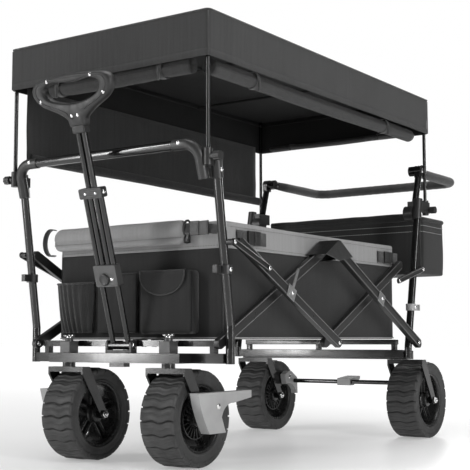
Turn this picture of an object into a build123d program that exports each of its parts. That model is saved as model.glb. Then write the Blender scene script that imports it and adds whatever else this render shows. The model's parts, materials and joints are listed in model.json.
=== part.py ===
from build123d import *
from math import atan2, cos, degrees, hypot, radians, sin, tan
import os

# Folding camp wagon with a canopy: an end frame at the front and one at the rear, joined on each
# side by a double scissor, with a fabric basket between them. +X is the wagon's left-to-right
# direction, +Y runs from the pull handle to the push bar and +Z is up. The wheels stand on z = 0.
# The origin is on the floor, under the middle of the whole wagon's box.

# Driving dimensions, in millimetres. Lengths along Y are given from the middle between the end
# frames, and at() moves them to the origin.
MIDDLE_Y = -114.96  # the middle between the end frames, from the origin
WHEEL_RADIUS = 100.0
WHEEL_WIDTH = 85.0
FRAME_X = 270.0  # centre of the uprights
END_FRAME_Y = 407.0  # centre of each end frame's rails
PIVOT_Y = 422.0  # lower scissor pivots
PIVOT_Z = 254.0
FOLD_ANGLE = 27.1  # slope of the scissor bars when the wagon is open
BAR_LENGTH = 474.0  # pivot to pivot
BAR_HEIGHT = 22.0
SHORT_BAR_LENGTH = 444.0  # the bars that end free at their upper end
INNER_LAYER = (247.0, 259.0)  # the scissor bars' two layers, along X
OUTER_LAYER = (281.0, 293.0)
LINK_LAYER = (294.0, 298.0)
LINK_ON_BAR = 105.0  # link rivet's distance from the bars' crossing
FRONT_LINK_PIVOT = (-431.5, 456.0)  # (y, z) on the front upright
REAR_LINK_PIVOT = (446.0, 446.0)
RAIL_Z = (214.0, 234.0)
TOP_RAIL_Z = (248.0, 261.0)
CASTER_X = 138.0
CASTER_Y = -439.0
CASTER_TRAIL = 59.0
REAR_WHEEL_X = 242.0
REAR_WHEEL_Y = 512.0
FORK_HALF = 51.0
RUNNING_FIT = 0.06  # radial clearance of a shaft that turns or slides
HANDLE_LEAN = 16.56
PUSH_BAR_Z = 726.0
PUSH_BAR_Y = 820.0
POLE_X = 269.5
POLE_RADIUS = 4.5
FRONT_POLE_Y = -482.0
REAR_POLE_Y = 530.0
KNOB_FACE_X = 300.0
BASKET_X = 235.0
BASKET_Y = (-378.0, 410.0)
BASKET_Z = (262.0, 452.0, 508.0)  # floor, lower edge of the band, rim
ROOF_X = 278.0
ROOF_Y = (-492.0, 543.0)
ROOF_Z = (826.0, 924.0)
os.makedirs("parts", exist_ok=True)


def at(x, y, z):
    """A point given from the middle between the end frames."""
    return Vector(x, y + MIDDLE_Y, z)


def side_plane(x):
    """A plane across the wagon at x. Its sketches are drawn in (y, z)."""
    return Plane(origin=at(x, 0, 0), x_dir=(0, 1, 0), z_dir=(1, 0, 0))


def block(x, y, z, mode=Mode.ADD):
    """A box between two values on each axis."""
    size = [high - low for low, high in (x, y, z)]
    with Locations(at(sum(x) / 2, sum(y) / 2, sum(z) / 2)):
        Box(*size, mode=mode)


def rod(start, end, radius, bore=0.0, mode=Mode.ADD):
    """A round bar or tube from start to end."""
    run = end - start
    with BuildSketch(Plane(origin=start, z_dir=run)) as section:
        Circle(radius)
        if bore:
            Circle(bore, mode=Mode.SUBTRACT)
    extrude(section.sketch, amount=run.length, mode=mode)


def cross_rod(x, y, z, radius, bore=0.0, mode=Mode.ADD):
    """A round bar or tube along X, between two values of x."""
    rod(at(x[0], y, z), at(x[1], y, z), radius, bore, mode)


def bent_tube(points, width, depth, mode=Mode.ADD):
    """An oval bar through points, mitred where it turns."""
    with BuildLine() as path:
        Polyline(*points)
    with BuildSketch(Plane(origin=points[0], x_dir=(1, 0, 0), z_dir=points[1] - points[0])) as section:
        Ellipse(width / 2, depth / 2)
    sweep(section.sketch, path=path.line, transition=Transition.RIGHT, mode=mode)


def round_bend(points, radius, bend):
    """A round bar through points with rounded bends."""
    with BuildLine() as path:
        FilletPolyline(*points, radius=bend)
    with BuildSketch(Plane(origin=points[0], z_dir=points[1] - points[0])) as section:
        Circle(radius)
    sweep(section.sketch, path=path.line)


def flat_bar(start, end, layer, height, reach=0.0):
    """A flat bar with round ends between two (y, z) pivots, reach longer past the second."""
    run = hypot(end[0] - start[0], end[1] - start[1])
    share = (run + reach) / run / 2
    middle = (start[0] + (end[0] - start[0]) * share, start[1] + (end[1] - start[1]) * share)
    slope = degrees(atan2(end[1] - start[1], end[0] - start[0]))
    with BuildSketch(side_plane(layer[0])) as section:
        with Locations(middle):
            SlotCenterToCenter(run + reach, height, rotation=slope)
    extrude(section.sketch, amount=layer[1] - layer[0])


def side_shape(points, x, rounds=0.0):
    """A plate outlined by (y, z) points, between two values of x."""
    with BuildSketch(side_plane(x[0])) as section:
        Polygon(*points, align=None)
        if rounds:
            fillet(section.vertices(), rounds)
    extrude(section.sketch, amount=x[1] - x[0])


def save(piece, name):
    """Labels a finished piece and writes it to its own file."""
    piece.part.label = name
    export_step(piece.part, f"parts/{name}.step")


def along(start, slope, distance):
    """The (y, z) point at a distance from start, at a slope in degrees."""
    return (
        start[0] + distance * cos(radians(slope)),
        start[1] + distance * sin(radians(slope)),
    )


# The side linkage's points, in (y, z).
FRONT_PIVOT = (-PIVOT_Y, PIVOT_Z)
REAR_PIVOT = (PIVOT_Y, PIVOT_Z)
TOP_CENTRE = along(FRONT_PIVOT, FOLD_ANGLE, BAR_LENGTH)
FRONT_CROSSING = along(FRONT_PIVOT, FOLD_ANGLE, BAR_LENGTH / 2)
REAR_CROSSING = along(REAR_PIVOT, 180 - FOLD_ANGLE, BAR_LENGTH / 2)
BOTTOM_CENTRE = (0.0, PIVOT_Z)
FRONT_LINK_END = along(FRONT_CROSSING, 180 - FOLD_ANGLE, LINK_ON_BAR)
REAR_LINK_END = along(REAR_CROSSING, FOLD_ANGLE, LINK_ON_BAR)


def front_upright_y(z):
    """Centre of the leaning part of the front uprights at a height."""
    return -END_FRAME_Y - (z - 290) * tan(radians(8.4))


def rear_upright_y(z):
    """Centre of the leaning part of the rear uprights at a height."""
    return END_FRAME_Y + (z - 240) * tan(radians(11.0))


# ---------------------------------------------------------------- wheels
TYRE_INNER = 68.0
HUB_RADIUS = 19.0
AXLE_RADIUS = 6.0
SPOKES = 5


def wheel_plane(x, y):
    """A plane through a wheel's centre whose normal is its axle."""
    return Plane(origin=at(x, y, WHEEL_RADIUS), x_dir=(0, 1, 0), z_dir=(1, 0, 0))


def make_tyre(x, y, name):
    """A round-shouldered tyre, turned about its axle."""
    plane = wheel_plane(x, y)
    half = WHEEL_WIDTH / 2
    with BuildPart() as tyre:
        with BuildSketch(Plane(origin=plane.origin, x_dir=(1, 0, 0), z_dir=(0, -1, 0))) as section:
            with BuildLine():
                crown = WHEEL_RADIUS - 4
                Line((-half + 6, TYRE_INNER), (half - 6, TYRE_INNER))
                Line((half - 6, TYRE_INNER), (half, TYRE_INNER + 8))
                Line((half, TYRE_INNER + 8), (half - 1, crown - 8))
                ThreePointArc((half - 1, crown - 8), (half - 5, crown - 1), (half - 12, crown + 2))
                ThreePointArc((half - 12, crown + 2), (0, WHEEL_RADIUS), (-half + 12, crown + 2))
                ThreePointArc((-half + 12, crown + 2), (-half + 5, crown - 1), (-half + 1, crown - 8))
                Line((-half + 1, crown - 8), (-half, TYRE_INNER + 8))
                Line((-half, TYRE_INNER + 8), (-half + 6, TYRE_INNER))
            make_face()
        revolve(section.sketch, axis=Axis(plane.origin, (1, 0, 0)))
    save(tyre, name)


def make_rim(x, y, name, brake_side):
    """A rim with twin spokes, and a ring of brake ribs on its brake side."""
    plane = wheel_plane(x, y)
    half = WHEEL_WIDTH / 2 - 8
    with BuildPart() as rim:
        with BuildSketch(plane.offset(-half)) as barrel:
            Circle(TYRE_INNER - 0.05)
            Circle(TYRE_INNER - 5, mode=Mode.SUBTRACT)
        extrude(barrel.sketch, amount=2 * half)
        with BuildSketch(plane.offset(-half)) as hub:
            Circle(HUB_RADIUS)
        extrude(hub.sketch, amount=2 * half)
        with BuildSketch(plane.offset(-11)) as spokes:
            with PolarLocations(0, SPOKES):
                with Locations((HUB_RADIUS + 22, 8), (HUB_RADIUS + 22, -8)):
                    Rectangle(TYRE_INNER - HUB_RADIUS, 7)
            Circle(TYRE_INNER - 4, mode=Mode.INTERSECT)
        extrude(spokes.sketch, amount=22)
        with BuildSketch(plane.offset(brake_side * 18 - 5)) as ribs:
            Circle(HUB_RADIUS + 22)
            Circle(HUB_RADIUS - 1, mode=Mode.SUBTRACT)
        extrude(ribs.sketch, amount=10)
        with BuildSketch(plane.offset(-half - 1)) as bore:
            Circle(AXLE_RADIUS + RUNNING_FIT)
        extrude(bore.sketch, amount=2 * half + 2, mode=Mode.SUBTRACT)
    save(rim, name)


WHEELS = (
    ("front_left", -CASTER_X, CASTER_Y + CASTER_TRAIL, -1),
    ("front_right", CASTER_X, CASTER_Y + CASTER_TRAIL, 1),
    ("rear_left", -REAR_WHEEL_X, REAR_WHEEL_Y, 1),
    ("rear_right", REAR_WHEEL_X, REAR_WHEEL_Y, -1),
)
for corner, wheel_x, wheel_y, brake_side in WHEELS:
    make_tyre(wheel_x, wheel_y, f"tyre_{corner}")
    make_rim(wheel_x, wheel_y, f"rim_{corner}", brake_side)

# ---------------------------------------------------------------- forks
LEG = 5.0
LEG_END_RADIUS = 10.0
CROWN_HALF = 11.5
CROWN_DEPTH = 11.0
CROWN_WALL = 3.0
BRAKE_PIVOT = (-375.0, 126.0)
REAR_BRAKE_PIVOT = (531.0, 152.0)


def make_fork_sides(x, y, direction, top):
    """Two tapered legs under a narrow channel crown, and the axle. direction points from axle to stem."""
    near, far = [y + direction * (CASTER_TRAIL + half) for half in (-CROWN_HALF, CROWN_HALF)]
    foot = y + direction * LEG_END_RADIUS, y - direction * LEG_END_RADIUS
    legs = [(far, top), (far, top - 16), (foot[0], WHEEL_RADIUS - 3), (foot[1], WHEEL_RADIUS + 3), (near, top)]
    for inner in (x - FORK_HALF, x + FORK_HALF - LEG):
        side_shape(legs, (inner, inner + LEG))
        cross_rod((inner, inner + LEG), y, WHEEL_RADIUS, LEG_END_RADIUS)
    crown = sorted((near, far))
    block((x - FORK_HALF, x + FORK_HALF), crown, (top - CROWN_DEPTH, top))
    hollow = crown[0] + CROWN_WALL, crown[1] - CROWN_WALL
    inside = x - FORK_HALF + LEG, x + FORK_HALF - LEG
    block(inside, hollow, (top - CROWN_DEPTH, top - CROWN_WALL), mode=Mode.SUBTRACT)
    cross_rod((x - FORK_HALF - 7, x + FORK_HALF + 7), y, WHEEL_RADIUS, AXLE_RADIUS)
    for inner in (x - FORK_HALF + LEG, x + FORK_HALF - LEG - 9):
        cross_rod((inner, inner + 9), y, WHEEL_RADIUS, 10)


STEM_RADIUS = 6.0
for side, name in ((-1, "left"), (1, "right")):
    with BuildPart() as caster_fork:
        make_fork_sides(side * CASTER_X, CASTER_Y + CASTER_TRAIL, -1, 204)
        rod(at(side * CASTER_X, CASTER_Y, 204), at(side * CASTER_X, CASTER_Y, 213.5), 14)
        rod(at(side * CASTER_X, CASTER_Y, 213), at(side * CASTER_X, CASTER_Y, 262), STEM_RADIUS)
        pin = sorted((side * (CASTER_X + FORK_HALF), side * (CASTER_X + FORK_HALF + 32)))
        cross_rod(pin, *BRAKE_PIVOT, 4)
        side_shape([(-420, 142), (-368, 142), (-362, 108), (-402, 108)],
                   sorted((side * (CASTER_X + FORK_HALF - LEG), side * (CASTER_X + FORK_HALF))))
    save(caster_fork, f"caster_fork_{name}")

    # A brake pedal: a broad foot plate in front, with a lever arm that runs back over the wheel.
    pedal_x = sorted((side * 197.0, side * 219.0))
    with BuildPart() as brake_pedal:
        with BuildSketch(side_plane(pedal_x[0])) as plate:
            with BuildLine():
                Polyline((-445, 155), (-255, 155), (-255, 140), (-322, 131))
                ThreePointArc((-322, 131), (-352, 122), (-364, 104))
                Polyline((-364, 104), (-350, 72), (-406, 72))
                ThreePointArc((-406, 72), (-430, 112), (-445, 155))
            make_face()
        extrude(plate.sketch, amount=pedal_x[1] - pedal_x[0])
        cross_rod((pedal_x[0] - 1, pedal_x[1] + 1), *BRAKE_PIVOT, 4 + RUNNING_FIT, mode=Mode.SUBTRACT)
    save(brake_pedal, f"brake_pedal_{name}")

with BuildPart() as rear_forks:
    make_fork_sides(REAR_WHEEL_X, REAR_WHEEL_Y, -1, 208)
    cross_rod((REAR_WHEEL_X - FORK_HALF - 22, REAR_WHEEL_X - FORK_HALF), *REAR_BRAKE_PIVOT, 4)
    side_shape([(482, 172), (540, 164), (540, 140), (500, 120)],
               (REAR_WHEEL_X - FORK_HALF, REAR_WHEEL_X - FORK_HALF + LEG))
    mirror(about=Plane.YZ)
save(rear_forks, "rear_forks")

# The rear brake: a bar across the wagon between two levers, pressed by a pedal in the middle.
BRAKE_BAR = (556.0, 141.0)
with BuildPart() as rear_brake_bar:
    cross_rod((-184, 184), *BRAKE_BAR, 6)
save(rear_brake_bar, "rear_brake_bar")

with BuildPart() as rear_brake_levers:
    with BuildSketch(side_plane(171)) as lever:
        with BuildLine():
            Polyline((505, 160), (524, 170), (540, 169), (572, 150), (574, 104), (566, 104))
            ThreePointArc((566, 104), (548, 128), (512, 132))
            Line((512, 132), (505, 160))
        make_face()
    extrude(lever.sketch, amount=17)
    cross_rod((170, 190), *REAR_BRAKE_PIVOT, 4 + RUNNING_FIT, mode=Mode.SUBTRACT)
    cross_rod((170, 190), *BRAKE_BAR, 6, mode=Mode.SUBTRACT)
    mirror(about=Plane.YZ)
    side_shape([(545, 151), (606, 157), (606, 149), (566, 131), (545, 131)], (-21, 21))
    cross_rod((-24, 24), *BRAKE_BAR, 6, mode=Mode.SUBTRACT)
save(rear_brake_levers, "rear_brake_levers")

# ---------------------------------------------------------------- front frame
TUBE_WIDTH = 20.0
TUBE_DEPTH = 15.0
TUBE_WALL = 1.6
UPRIGHT_TOP = 584.0
with BuildPart() as front_uprights:
    upright_path = [
        at(FRAME_X, -END_FRAME_Y, 213),
        at(FRAME_X, -END_FRAME_Y, 290),
        at(FRAME_X, front_upright_y(UPRIGHT_TOP), UPRIGHT_TOP),
    ]
    bent_tube(upright_path, TUBE_WIDTH, TUBE_DEPTH)
    bent_tube(upright_path, TUBE_WIDTH - 2 * TUBE_WALL, TUBE_DEPTH - 2 * TUBE_WALL, mode=Mode.SUBTRACT)
    mirror(about=Plane.YZ)
save(front_uprights, "front_uprights")


def make_rails(y):
    """An end frame's lower rail with a thin upper rail on three posts."""
    block((-FRAME_X + 10.2, FRAME_X - 10.2), (y - 10, y + 10), RAIL_Z)
    block((-238, 238), (y - 9, y + 9), TOP_RAIL_Z)
    for post in (-230, 0, 230):
        block((post - 6, post + 6), (y - 7, y + 7), (RAIL_Z[1] - 1, TOP_RAIL_Z[0] + 1))


with BuildPart() as front_rails:
    make_rails(-END_FRAME_Y)
save(front_rails, "front_rails")

with BuildPart() as caster_bar:
    block((-180, 180), (-457, -417), RAIL_Z)
    block((-20, 20), (-441, -421), (205, 215))
    for side in (-1, 1):
        rod(at(side * CASTER_X, CASTER_Y, 213), at(side * CASTER_X, CASTER_Y, 235),
            STEM_RADIUS + RUNNING_FIT, mode=Mode.SUBTRACT)
save(caster_bar, "caster_bar")

with BuildPart() as stem_housings:
    for side in (-1, 1):
        block((side * CASTER_X - 14, side * CASTER_X + 14), (CASTER_Y - 14, CASTER_Y + 14), (234, 259))
        rod(at(side * CASTER_X, CASTER_Y, 259), at(side * CASTER_X, CASTER_Y, 266), 9)
        rod(at(side * CASTER_X, CASTER_Y, 233), at(side * CASTER_X, CASTER_Y, 262.5),
            STEM_RADIUS + RUNNING_FIT, mode=Mode.SUBTRACT)
save(stem_housings, "stem_housings")


def make_hooks(upright_y, z, direction, reach):
    """A band round each upright with a hooked tab, for the folded wagon's strap."""
    with BuildSketch(Plane(origin=at(FRAME_X, upright_y(z), z - 9))) as band:
        Ellipse(TUBE_WIDTH / 2 + 3.5, TUBE_DEPTH / 2 + 5)
    extrude(band.sketch, amount=18)
    bent_tube(
        [at(FRAME_X, upright_y(z - 30), z - 30), at(FRAME_X, upright_y(z + 30), z + 30)],
        TUBE_WIDTH + 0.1, TUBE_DEPTH + 0.1, mode=Mode.SUBTRACT,
    )
    root, tip = upright_y(z) + direction * 11.5, upright_y(z) + direction * reach
    block((FRAME_X - 9, FRAME_X - 3), sorted((root, tip)), (z - 8, z + 8))
    block((FRAME_X - 9, FRAME_X + 2), sorted((tip, tip - direction * 4)), (z - 8, z + 8))
    mirror(about=Plane.YZ)


with BuildPart() as front_hooks:
    make_hooks(front_upright_y, 402, -1, 32)
save(front_hooks, "front_hooks")

# The front bar: a cross tube on two elbows, which also hold the tops of the uprights and the
# canopy's front poles.
FRONT_BAR = (-490.0, 652.0)
ELBOW_RADIUS = 11.5
with BuildPart() as front_elbows:
    sleeve_top = 636
    bent_tube([at(FRAME_X, front_upright_y(UPRIGHT_TOP), UPRIGHT_TOP),
               at(FRAME_X, front_upright_y(sleeve_top), sleeve_top)], 25, 22)
    elbow = [at(251, -470, 582), at(250, FRONT_BAR[0], FRONT_BAR[1]), at(190, *FRONT_BAR)]
    round_bend(elbow, ELBOW_RADIUS, 34)
    rod(at(POLE_X, FRONT_POLE_Y, 606), at(POLE_X, FRONT_POLE_Y, 640), 9)
    block((252, 272), (-482, -452), (606, 628))
    rod(at(POLE_X, FRONT_POLE_Y, 611), at(POLE_X, FRONT_POLE_Y, 641), POLE_RADIUS, mode=Mode.SUBTRACT)
    cross_rod((277, 283), FRONT_POLE_Y, 623, 6)
    cross_rod((276.5, 284), FRONT_POLE_Y, 623, 3 + RUNNING_FIT, mode=Mode.SUBTRACT)
    mirror(about=Plane.YZ)
save(front_elbows, "front_elbows")

with BuildPart() as front_cross_bar:
    cross_rod((-190, 190), *FRONT_BAR, 10, 8.4)
save(front_cross_bar, "front_cross_bar")

with BuildPart() as front_poles:
    for side in (-1, 1):
        foot = at(side * POLE_X, FRONT_POLE_Y, 611)
        rod(foot, at(side * POLE_X, FRONT_POLE_Y, ROOF_Z[1] - 4), POLE_RADIUS)
save(front_poles, "front_poles")

KNOB_FLUTES = 8


def make_knob(side, y, z, radius, name):
    """A clamp knob with finger flutes, on a stud that enters its block."""
    inner = KNOB_FACE_X - 15
    with BuildPart() as knob:
        with BuildSketch(side_plane(side * KNOB_FACE_X)) as face:
            with Locations((y, z)):
                Circle(radius)
                with PolarLocations(radius + 1.5, KNOB_FLUTES):
                    Circle(2.6, mode=Mode.SUBTRACT)
        extrude(face.sketch, amount=-side * 15)
        cross_rod(sorted((side * inner, side * (inner - 7))), y, z, 3)
    save(knob, name)


make_knob(-1, FRONT_POLE_Y, 623, 9.5, "front_knob_left")
make_knob(1, FRONT_POLE_Y, 623, 9.5, "front_knob_right")
make_knob(-1, REAR_POLE_Y, 613, 9.5, "rear_knob_left")
make_knob(1, REAR_POLE_Y, 613, 9.5, "rear_knob_right")

# ---------------------------------------------------------------- rear frame
with BuildPart() as rear_uprights:
    upright_path = [
        at(FRAME_X, END_FRAME_Y, 213),
        at(FRAME_X, END_FRAME_Y, 240),
        at(FRAME_X, rear_upright_y(UPRIGHT_TOP), UPRIGHT_TOP),
    ]
    bent_tube(upright_path, TUBE_WIDTH, TUBE_DEPTH)
    bent_tube(upright_path, TUBE_WIDTH - 2 * TUBE_WALL, TUBE_DEPTH - 2 * TUBE_WALL, mode=Mode.SUBTRACT)
    mirror(about=Plane.YZ)
save(rear_uprights, "rear_uprights")

with BuildPart() as rear_rails:
    make_rails(END_FRAME_Y)
    block((-FRAME_X + 10.2, FRAME_X - 10.2), (END_FRAME_Y + 9, 460), (209, 232))
save(rear_rails, "rear_rails")

with BuildPart() as rear_hooks:
    make_hooks(rear_upright_y, 346, 1, 52)
save(rear_hooks, "rear_hooks")

RISER_X = 250.0
RISER_RADIUS = 9.0
RISER = ((509.0, 637.5), (532.0, 712.0))
with BuildPart() as rear_sleeves:
    sleeve_top = 640
    bent_tube([at(FRAME_X, rear_upright_y(UPRIGHT_TOP), UPRIGHT_TOP),
               at(FRAME_X, rear_upright_y(sleeve_top), sleeve_top)], 25, 22)
    cross_rod((233, 259), 484, 602, 20)
    block((241, 281), (478, 534), (604, 634))
    rod(at(POLE_X, REAR_POLE_Y, 600), at(POLE_X, REAR_POLE_Y, 640), 9)
    rod(at(POLE_X, REAR_POLE_Y, 605), at(POLE_X, REAR_POLE_Y, 641), POLE_RADIUS, mode=Mode.SUBTRACT)
    cross_rod((277, 283), REAR_POLE_Y, 613, 6)
    cross_rod((276.5, 284), REAR_POLE_Y, 613, 3 + RUNNING_FIT, mode=Mode.SUBTRACT)
    mirror(about=Plane.YZ)
save(rear_sleeves, "rear_sleeves")

with BuildPart() as rear_poles:
    for side in (-1, 1):
        foot = at(side * POLE_X, REAR_POLE_Y, 605)
        rod(foot, at(side * POLE_X, REAR_POLE_Y, ROOF_Z[1] - 4), POLE_RADIUS)
save(rear_poles, "rear_poles")

# The push bar turns on the risers' top ends.
PUSH_HINGE = (538.0, PUSH_BAR_Z)
with BuildPart() as push_bar_risers:
    rod(at(RISER_X, *RISER[0]), at(RISER_X, *RISER[1]), RISER_RADIUS)
    cross_rod((RISER_X - 9, RISER_X + 9), *PUSH_HINGE, 15)
    block((RISER_X - 8, RISER_X + 8), (522, 544), (706, 722))
    cross_rod((RISER_X - 27, RISER_X + 9), *PUSH_HINGE, 5)
    mirror(about=Plane.YZ)
save(push_bar_risers, "push_bar_risers")

PUSH_TUBE_RADIUS = 10.0
PUSH_ARM_X = 231.0
with BuildPart() as push_bar:
    arms = [
        at(-PUSH_ARM_X, PUSH_HINGE[0] + 8, PUSH_BAR_Z),
        at(-PUSH_ARM_X, PUSH_BAR_Y, PUSH_BAR_Z),
        at(PUSH_ARM_X, PUSH_BAR_Y, PUSH_BAR_Z),
        at(PUSH_ARM_X, PUSH_HINGE[0] + 8, PUSH_BAR_Z),
    ]
    round_bend(arms, PUSH_TUBE_RADIUS, 38)
    for side in (-1, 1):
        eye = sorted((side * (PUSH_ARM_X - 9), side * (PUSH_ARM_X + 9)))
        cross_rod(eye, *PUSH_HINGE, 14)
        cross_rod((eye[0] - 1, eye[1] + 1), *PUSH_HINGE, 5 + RUNNING_FIT, mode=Mode.SUBTRACT)
save(push_bar, "push_bar")

with BuildPart() as push_grip:
    cross_rod((-185, 185), PUSH_BAR_Y, PUSH_BAR_Z, 13.5, PUSH_TUBE_RADIUS + 0.05)
save(push_grip, "push_grip")

# ---------------------------------------------------------------- side scissors
with BuildPart() as front_lower_bars:
    flat_bar(FRONT_PIVOT, TOP_CENTRE, INNER_LAYER, BAR_HEIGHT)
    mirror(about=Plane.YZ)
save(front_lower_bars, "front_lower_bars")

with BuildPart() as rear_lower_bars:
    flat_bar(TOP_CENTRE, REAR_PIVOT, OUTER_LAYER, BAR_HEIGHT, 8)
    cross_rod((OUTER_LAYER[1] - 1, OUTER_LAYER[1] + 2), *REAR_PIVOT, 6)
    mirror(about=Plane.YZ)
save(rear_lower_bars, "rear_lower_bars")

SHORT_BAR_FRONT = along(BOTTOM_CENTRE, 180 - FOLD_ANGLE, SHORT_BAR_LENGTH)
SHORT_BAR_REAR = along(BOTTOM_CENTRE, FOLD_ANGLE, SHORT_BAR_LENGTH)
with BuildPart() as front_upper_bars:
    flat_bar(BOTTOM_CENTRE, SHORT_BAR_FRONT, OUTER_LAYER, BAR_HEIGHT)
    mirror(about=Plane.YZ)
save(front_upper_bars, "front_upper_bars")

with BuildPart() as rear_upper_bars:
    flat_bar(BOTTOM_CENTRE, SHORT_BAR_REAR, INNER_LAYER, BAR_HEIGHT)
    mirror(about=Plane.YZ)
save(rear_upper_bars, "rear_upper_bars")

# The caps over the top centre: a gable across both layers, open below.
with BuildPart() as centre_caps:
    gable = [(-64, 455), (-4, 491), (4, 491), (64, 455), (0, 443)]
    cavity = [(-80, 446), (-2, 487.5), (2, 487.5), (80, 446), (80, 430), (-80, 430)]
    side_shape(gable, (243, 296.5))
    with BuildSketch(side_plane(246)) as hollow:
        Polygon(*cavity, align=None)
    extrude(hollow.sketch, amount=48, mode=Mode.SUBTRACT)
    mirror(about=Plane.YZ)
save(centre_caps, "centre_caps")


def make_links(pivot, end):
    """A link plate on each side, with a boss that reaches in to the upright."""
    flat_bar(pivot, end, LINK_LAYER, 14)
    cross_rod((FRAME_X + 10.3, LINK_LAYER[0]), *pivot, 6)
    cross_rod((LINK_LAYER[1], LINK_LAYER[1] + 2), *pivot, 5)
    cross_rod((LINK_LAYER[1], LINK_LAYER[1] + 2), *end, 5)
    mirror(about=Plane.YZ)


with BuildPart() as front_links:
    make_links(FRONT_LINK_PIVOT, FRONT_LINK_END)
save(front_links, "front_links")

with BuildPart() as rear_links:
    make_links(REAR_LINK_PIVOT, REAR_LINK_END)
save(rear_links, "rear_links")


def make_crossing_brackets(crossing, slope, tongue):
    """A plate outside the outer bar at a crossing, with a strap tongue if asked."""
    plate_x = (OUTER_LAYER[1] + 0.4, OUTER_LAYER[1] + 2.4)
    half = BAR_HEIGHT / 2 + 2.6
    corners = []
    for run, rise in ((-16, -half), (16, -half), (16, half), (-16, half)):
        point = along(crossing, slope, run)
        corners.append(along(point, slope + 90, rise))
    side_shape(corners, plate_x)
    cross_rod((plate_x[1], plate_x[1] + 2.5), *crossing, 5)
    if tongue:
        foot = along(crossing, slope - 90, half - 3)
        flat_bar(foot, along(foot, 62, 46), plate_x, 9)
    mirror(about=Plane.YZ)


with BuildPart() as front_crossing_brackets:
    make_crossing_brackets(FRONT_CROSSING, 180 - FOLD_ANGLE, True)
save(front_crossing_brackets, "front_crossing_brackets")

with BuildPart() as rear_crossing_brackets:
    make_crossing_brackets(REAR_CROSSING, 180 - FOLD_ANGLE, False)
save(rear_crossing_brackets, "rear_crossing_brackets")

# ---------------------------------------------------------------- pull handle
HANDLE_PIVOT = (-426.0, 250.0)
HANDLE_SIN = sin(radians(HANDLE_LEAN))
HANDLE_COS = cos(radians(HANDLE_LEAN))
HANDLE_PLANE = Plane(origin=at(0, *HANDLE_PIVOT), x_dir=(1, 0, 0), z_dir=(0, -HANDLE_COS, -HANDLE_SIN))
LOWER_TUBE_X = 21.0
UPPER_TUBE_X = 8.0
HANDLE_TUBE = 6.0
CLAMP_SPAN = (320.0, 342.0)
SLIDER_SPAN = (131.0, 177.0)
GRIP_FOOT = 471.0


def on_handle(x, reach):
    """A point in the handle's own plane, at a reach from its pivot."""
    return HANDLE_PLANE.from_local_coords(Vector(x, reach, 0))


def handle_block(x, reach, half_depth):
    """A box in the handle's plane."""
    with BuildSketch(HANDLE_PLANE.offset(-half_depth)) as outline:
        with Locations((sum(x) / 2, sum(reach) / 2)):
            RectangleRounded(x[1] - x[0], reach[1] - reach[0], 4)
    extrude(outline.sketch, amount=2 * half_depth)


with BuildPart() as handle_outer_tubes:
    cross_rod((-29, 29), *HANDLE_PIVOT, 8.5)
    for side in (-1, 1):
        rod(on_handle(side * LOWER_TUBE_X, 5), on_handle(side * LOWER_TUBE_X, CLAMP_SPAN[0]), HANDLE_TUBE)
    cross_rod((-30, 30), *HANDLE_PIVOT, 5 + RUNNING_FIT, mode=Mode.SUBTRACT)
save(handle_outer_tubes, "handle_outer_tubes")

with BuildPart() as handle_pivot_bracket:
    for side in (-1, 1):
        ear_x = sorted((side * 30, side * 36))
        ear = [(-436, 240), (-417.2, 240), (-417.2, 258), (-420, 262), (-431, 262), (-436, 256)]
        side_shape(ear, ear_x)
    block((-36, 36), (-436, -417.2), (234, 240.5))
    cross_rod((-40, 40), *HANDLE_PIVOT, 5)
save(handle_pivot_bracket, "handle_pivot_bracket")

with BuildPart() as handle_clamp:
    handle_block((-31, 31), CLAMP_SPAN, 9)
    for side in (-1, 1):
        rod(on_handle(side * UPPER_TUBE_X, 310), on_handle(side * UPPER_TUBE_X, 350),
            HANDLE_TUBE + RUNNING_FIT, mode=Mode.SUBTRACT)
save(handle_clamp, "handle_clamp")

with BuildPart() as handle_slider:
    handle_block((-30, 30), SLIDER_SPAN, 9)
    for side in (-1, 1):
        rod(on_handle(side * LOWER_TUBE_X, 120), on_handle(side * LOWER_TUBE_X, 190),
            HANDLE_TUBE + RUNNING_FIT, mode=Mode.SUBTRACT)
save(handle_slider, "handle_slider")

with BuildPart() as handle_inner_tubes:
    for side in (-1, 1):
        foot = on_handle(side * UPPER_TUBE_X, SLIDER_SPAN[1])
        rod(foot, on_handle(side * UPPER_TUBE_X, GRIP_FOOT), HANDLE_TUBE)
save(handle_inner_tubes, "handle_inner_tubes")

# A wide loop for one hand: a waisted top bar, round ends and a neck.
with BuildPart() as handle_grip:
    with BuildSketch(HANDLE_PLANE.offset(-12.5)) as loop:
        with BuildLine():
            half = [(20, GRIP_FOOT), (24, 486), (48, 503), (92, 525), (110, 551), (98, 571), (60, 577)]
            Spline(*half, (0, 581), *[(-x, reach) for x, reach in reversed(half)])
            Line((-20, GRIP_FOOT), (20, GRIP_FOOT))
        make_face()
        with BuildLine():
            half = [(45, 567), (74, 558), (66, 536), (36, 525)]
            mirrored = [(-x, reach) for x, reach in reversed(half)]
            Spline((0, 563), *half, (0, 522), *mirrored, periodic=True)
        make_face(mode=Mode.SUBTRACT)
    extrude(loop.sketch, amount=25)
save(handle_grip, "handle_grip")

# ---------------------------------------------------------------- fabric
CLOTH = 3.0


def open_tub(x, y, z, wall, corner):
    """A tub with an open top and rounded upright edges."""
    with BuildSketch(Plane.XY.offset(z[0])) as outside:
        with Locations((sum(x) / 2, sum(y) / 2 + MIDDLE_Y)):
            RectangleRounded(x[1] - x[0], y[1] - y[0], corner)
    extrude(outside.sketch, amount=z[1] - z[0])
    with BuildSketch(Plane.XY.offset(z[0] + wall)) as inside:
        with Locations((sum(x) / 2, sum(y) / 2 + MIDDLE_Y)):
            RectangleRounded(x[1] - x[0] - 2 * wall, y[1] - y[0] - 2 * wall, corner - wall)
    extrude(inside.sketch, amount=z[1] - z[0], mode=Mode.SUBTRACT)


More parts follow.
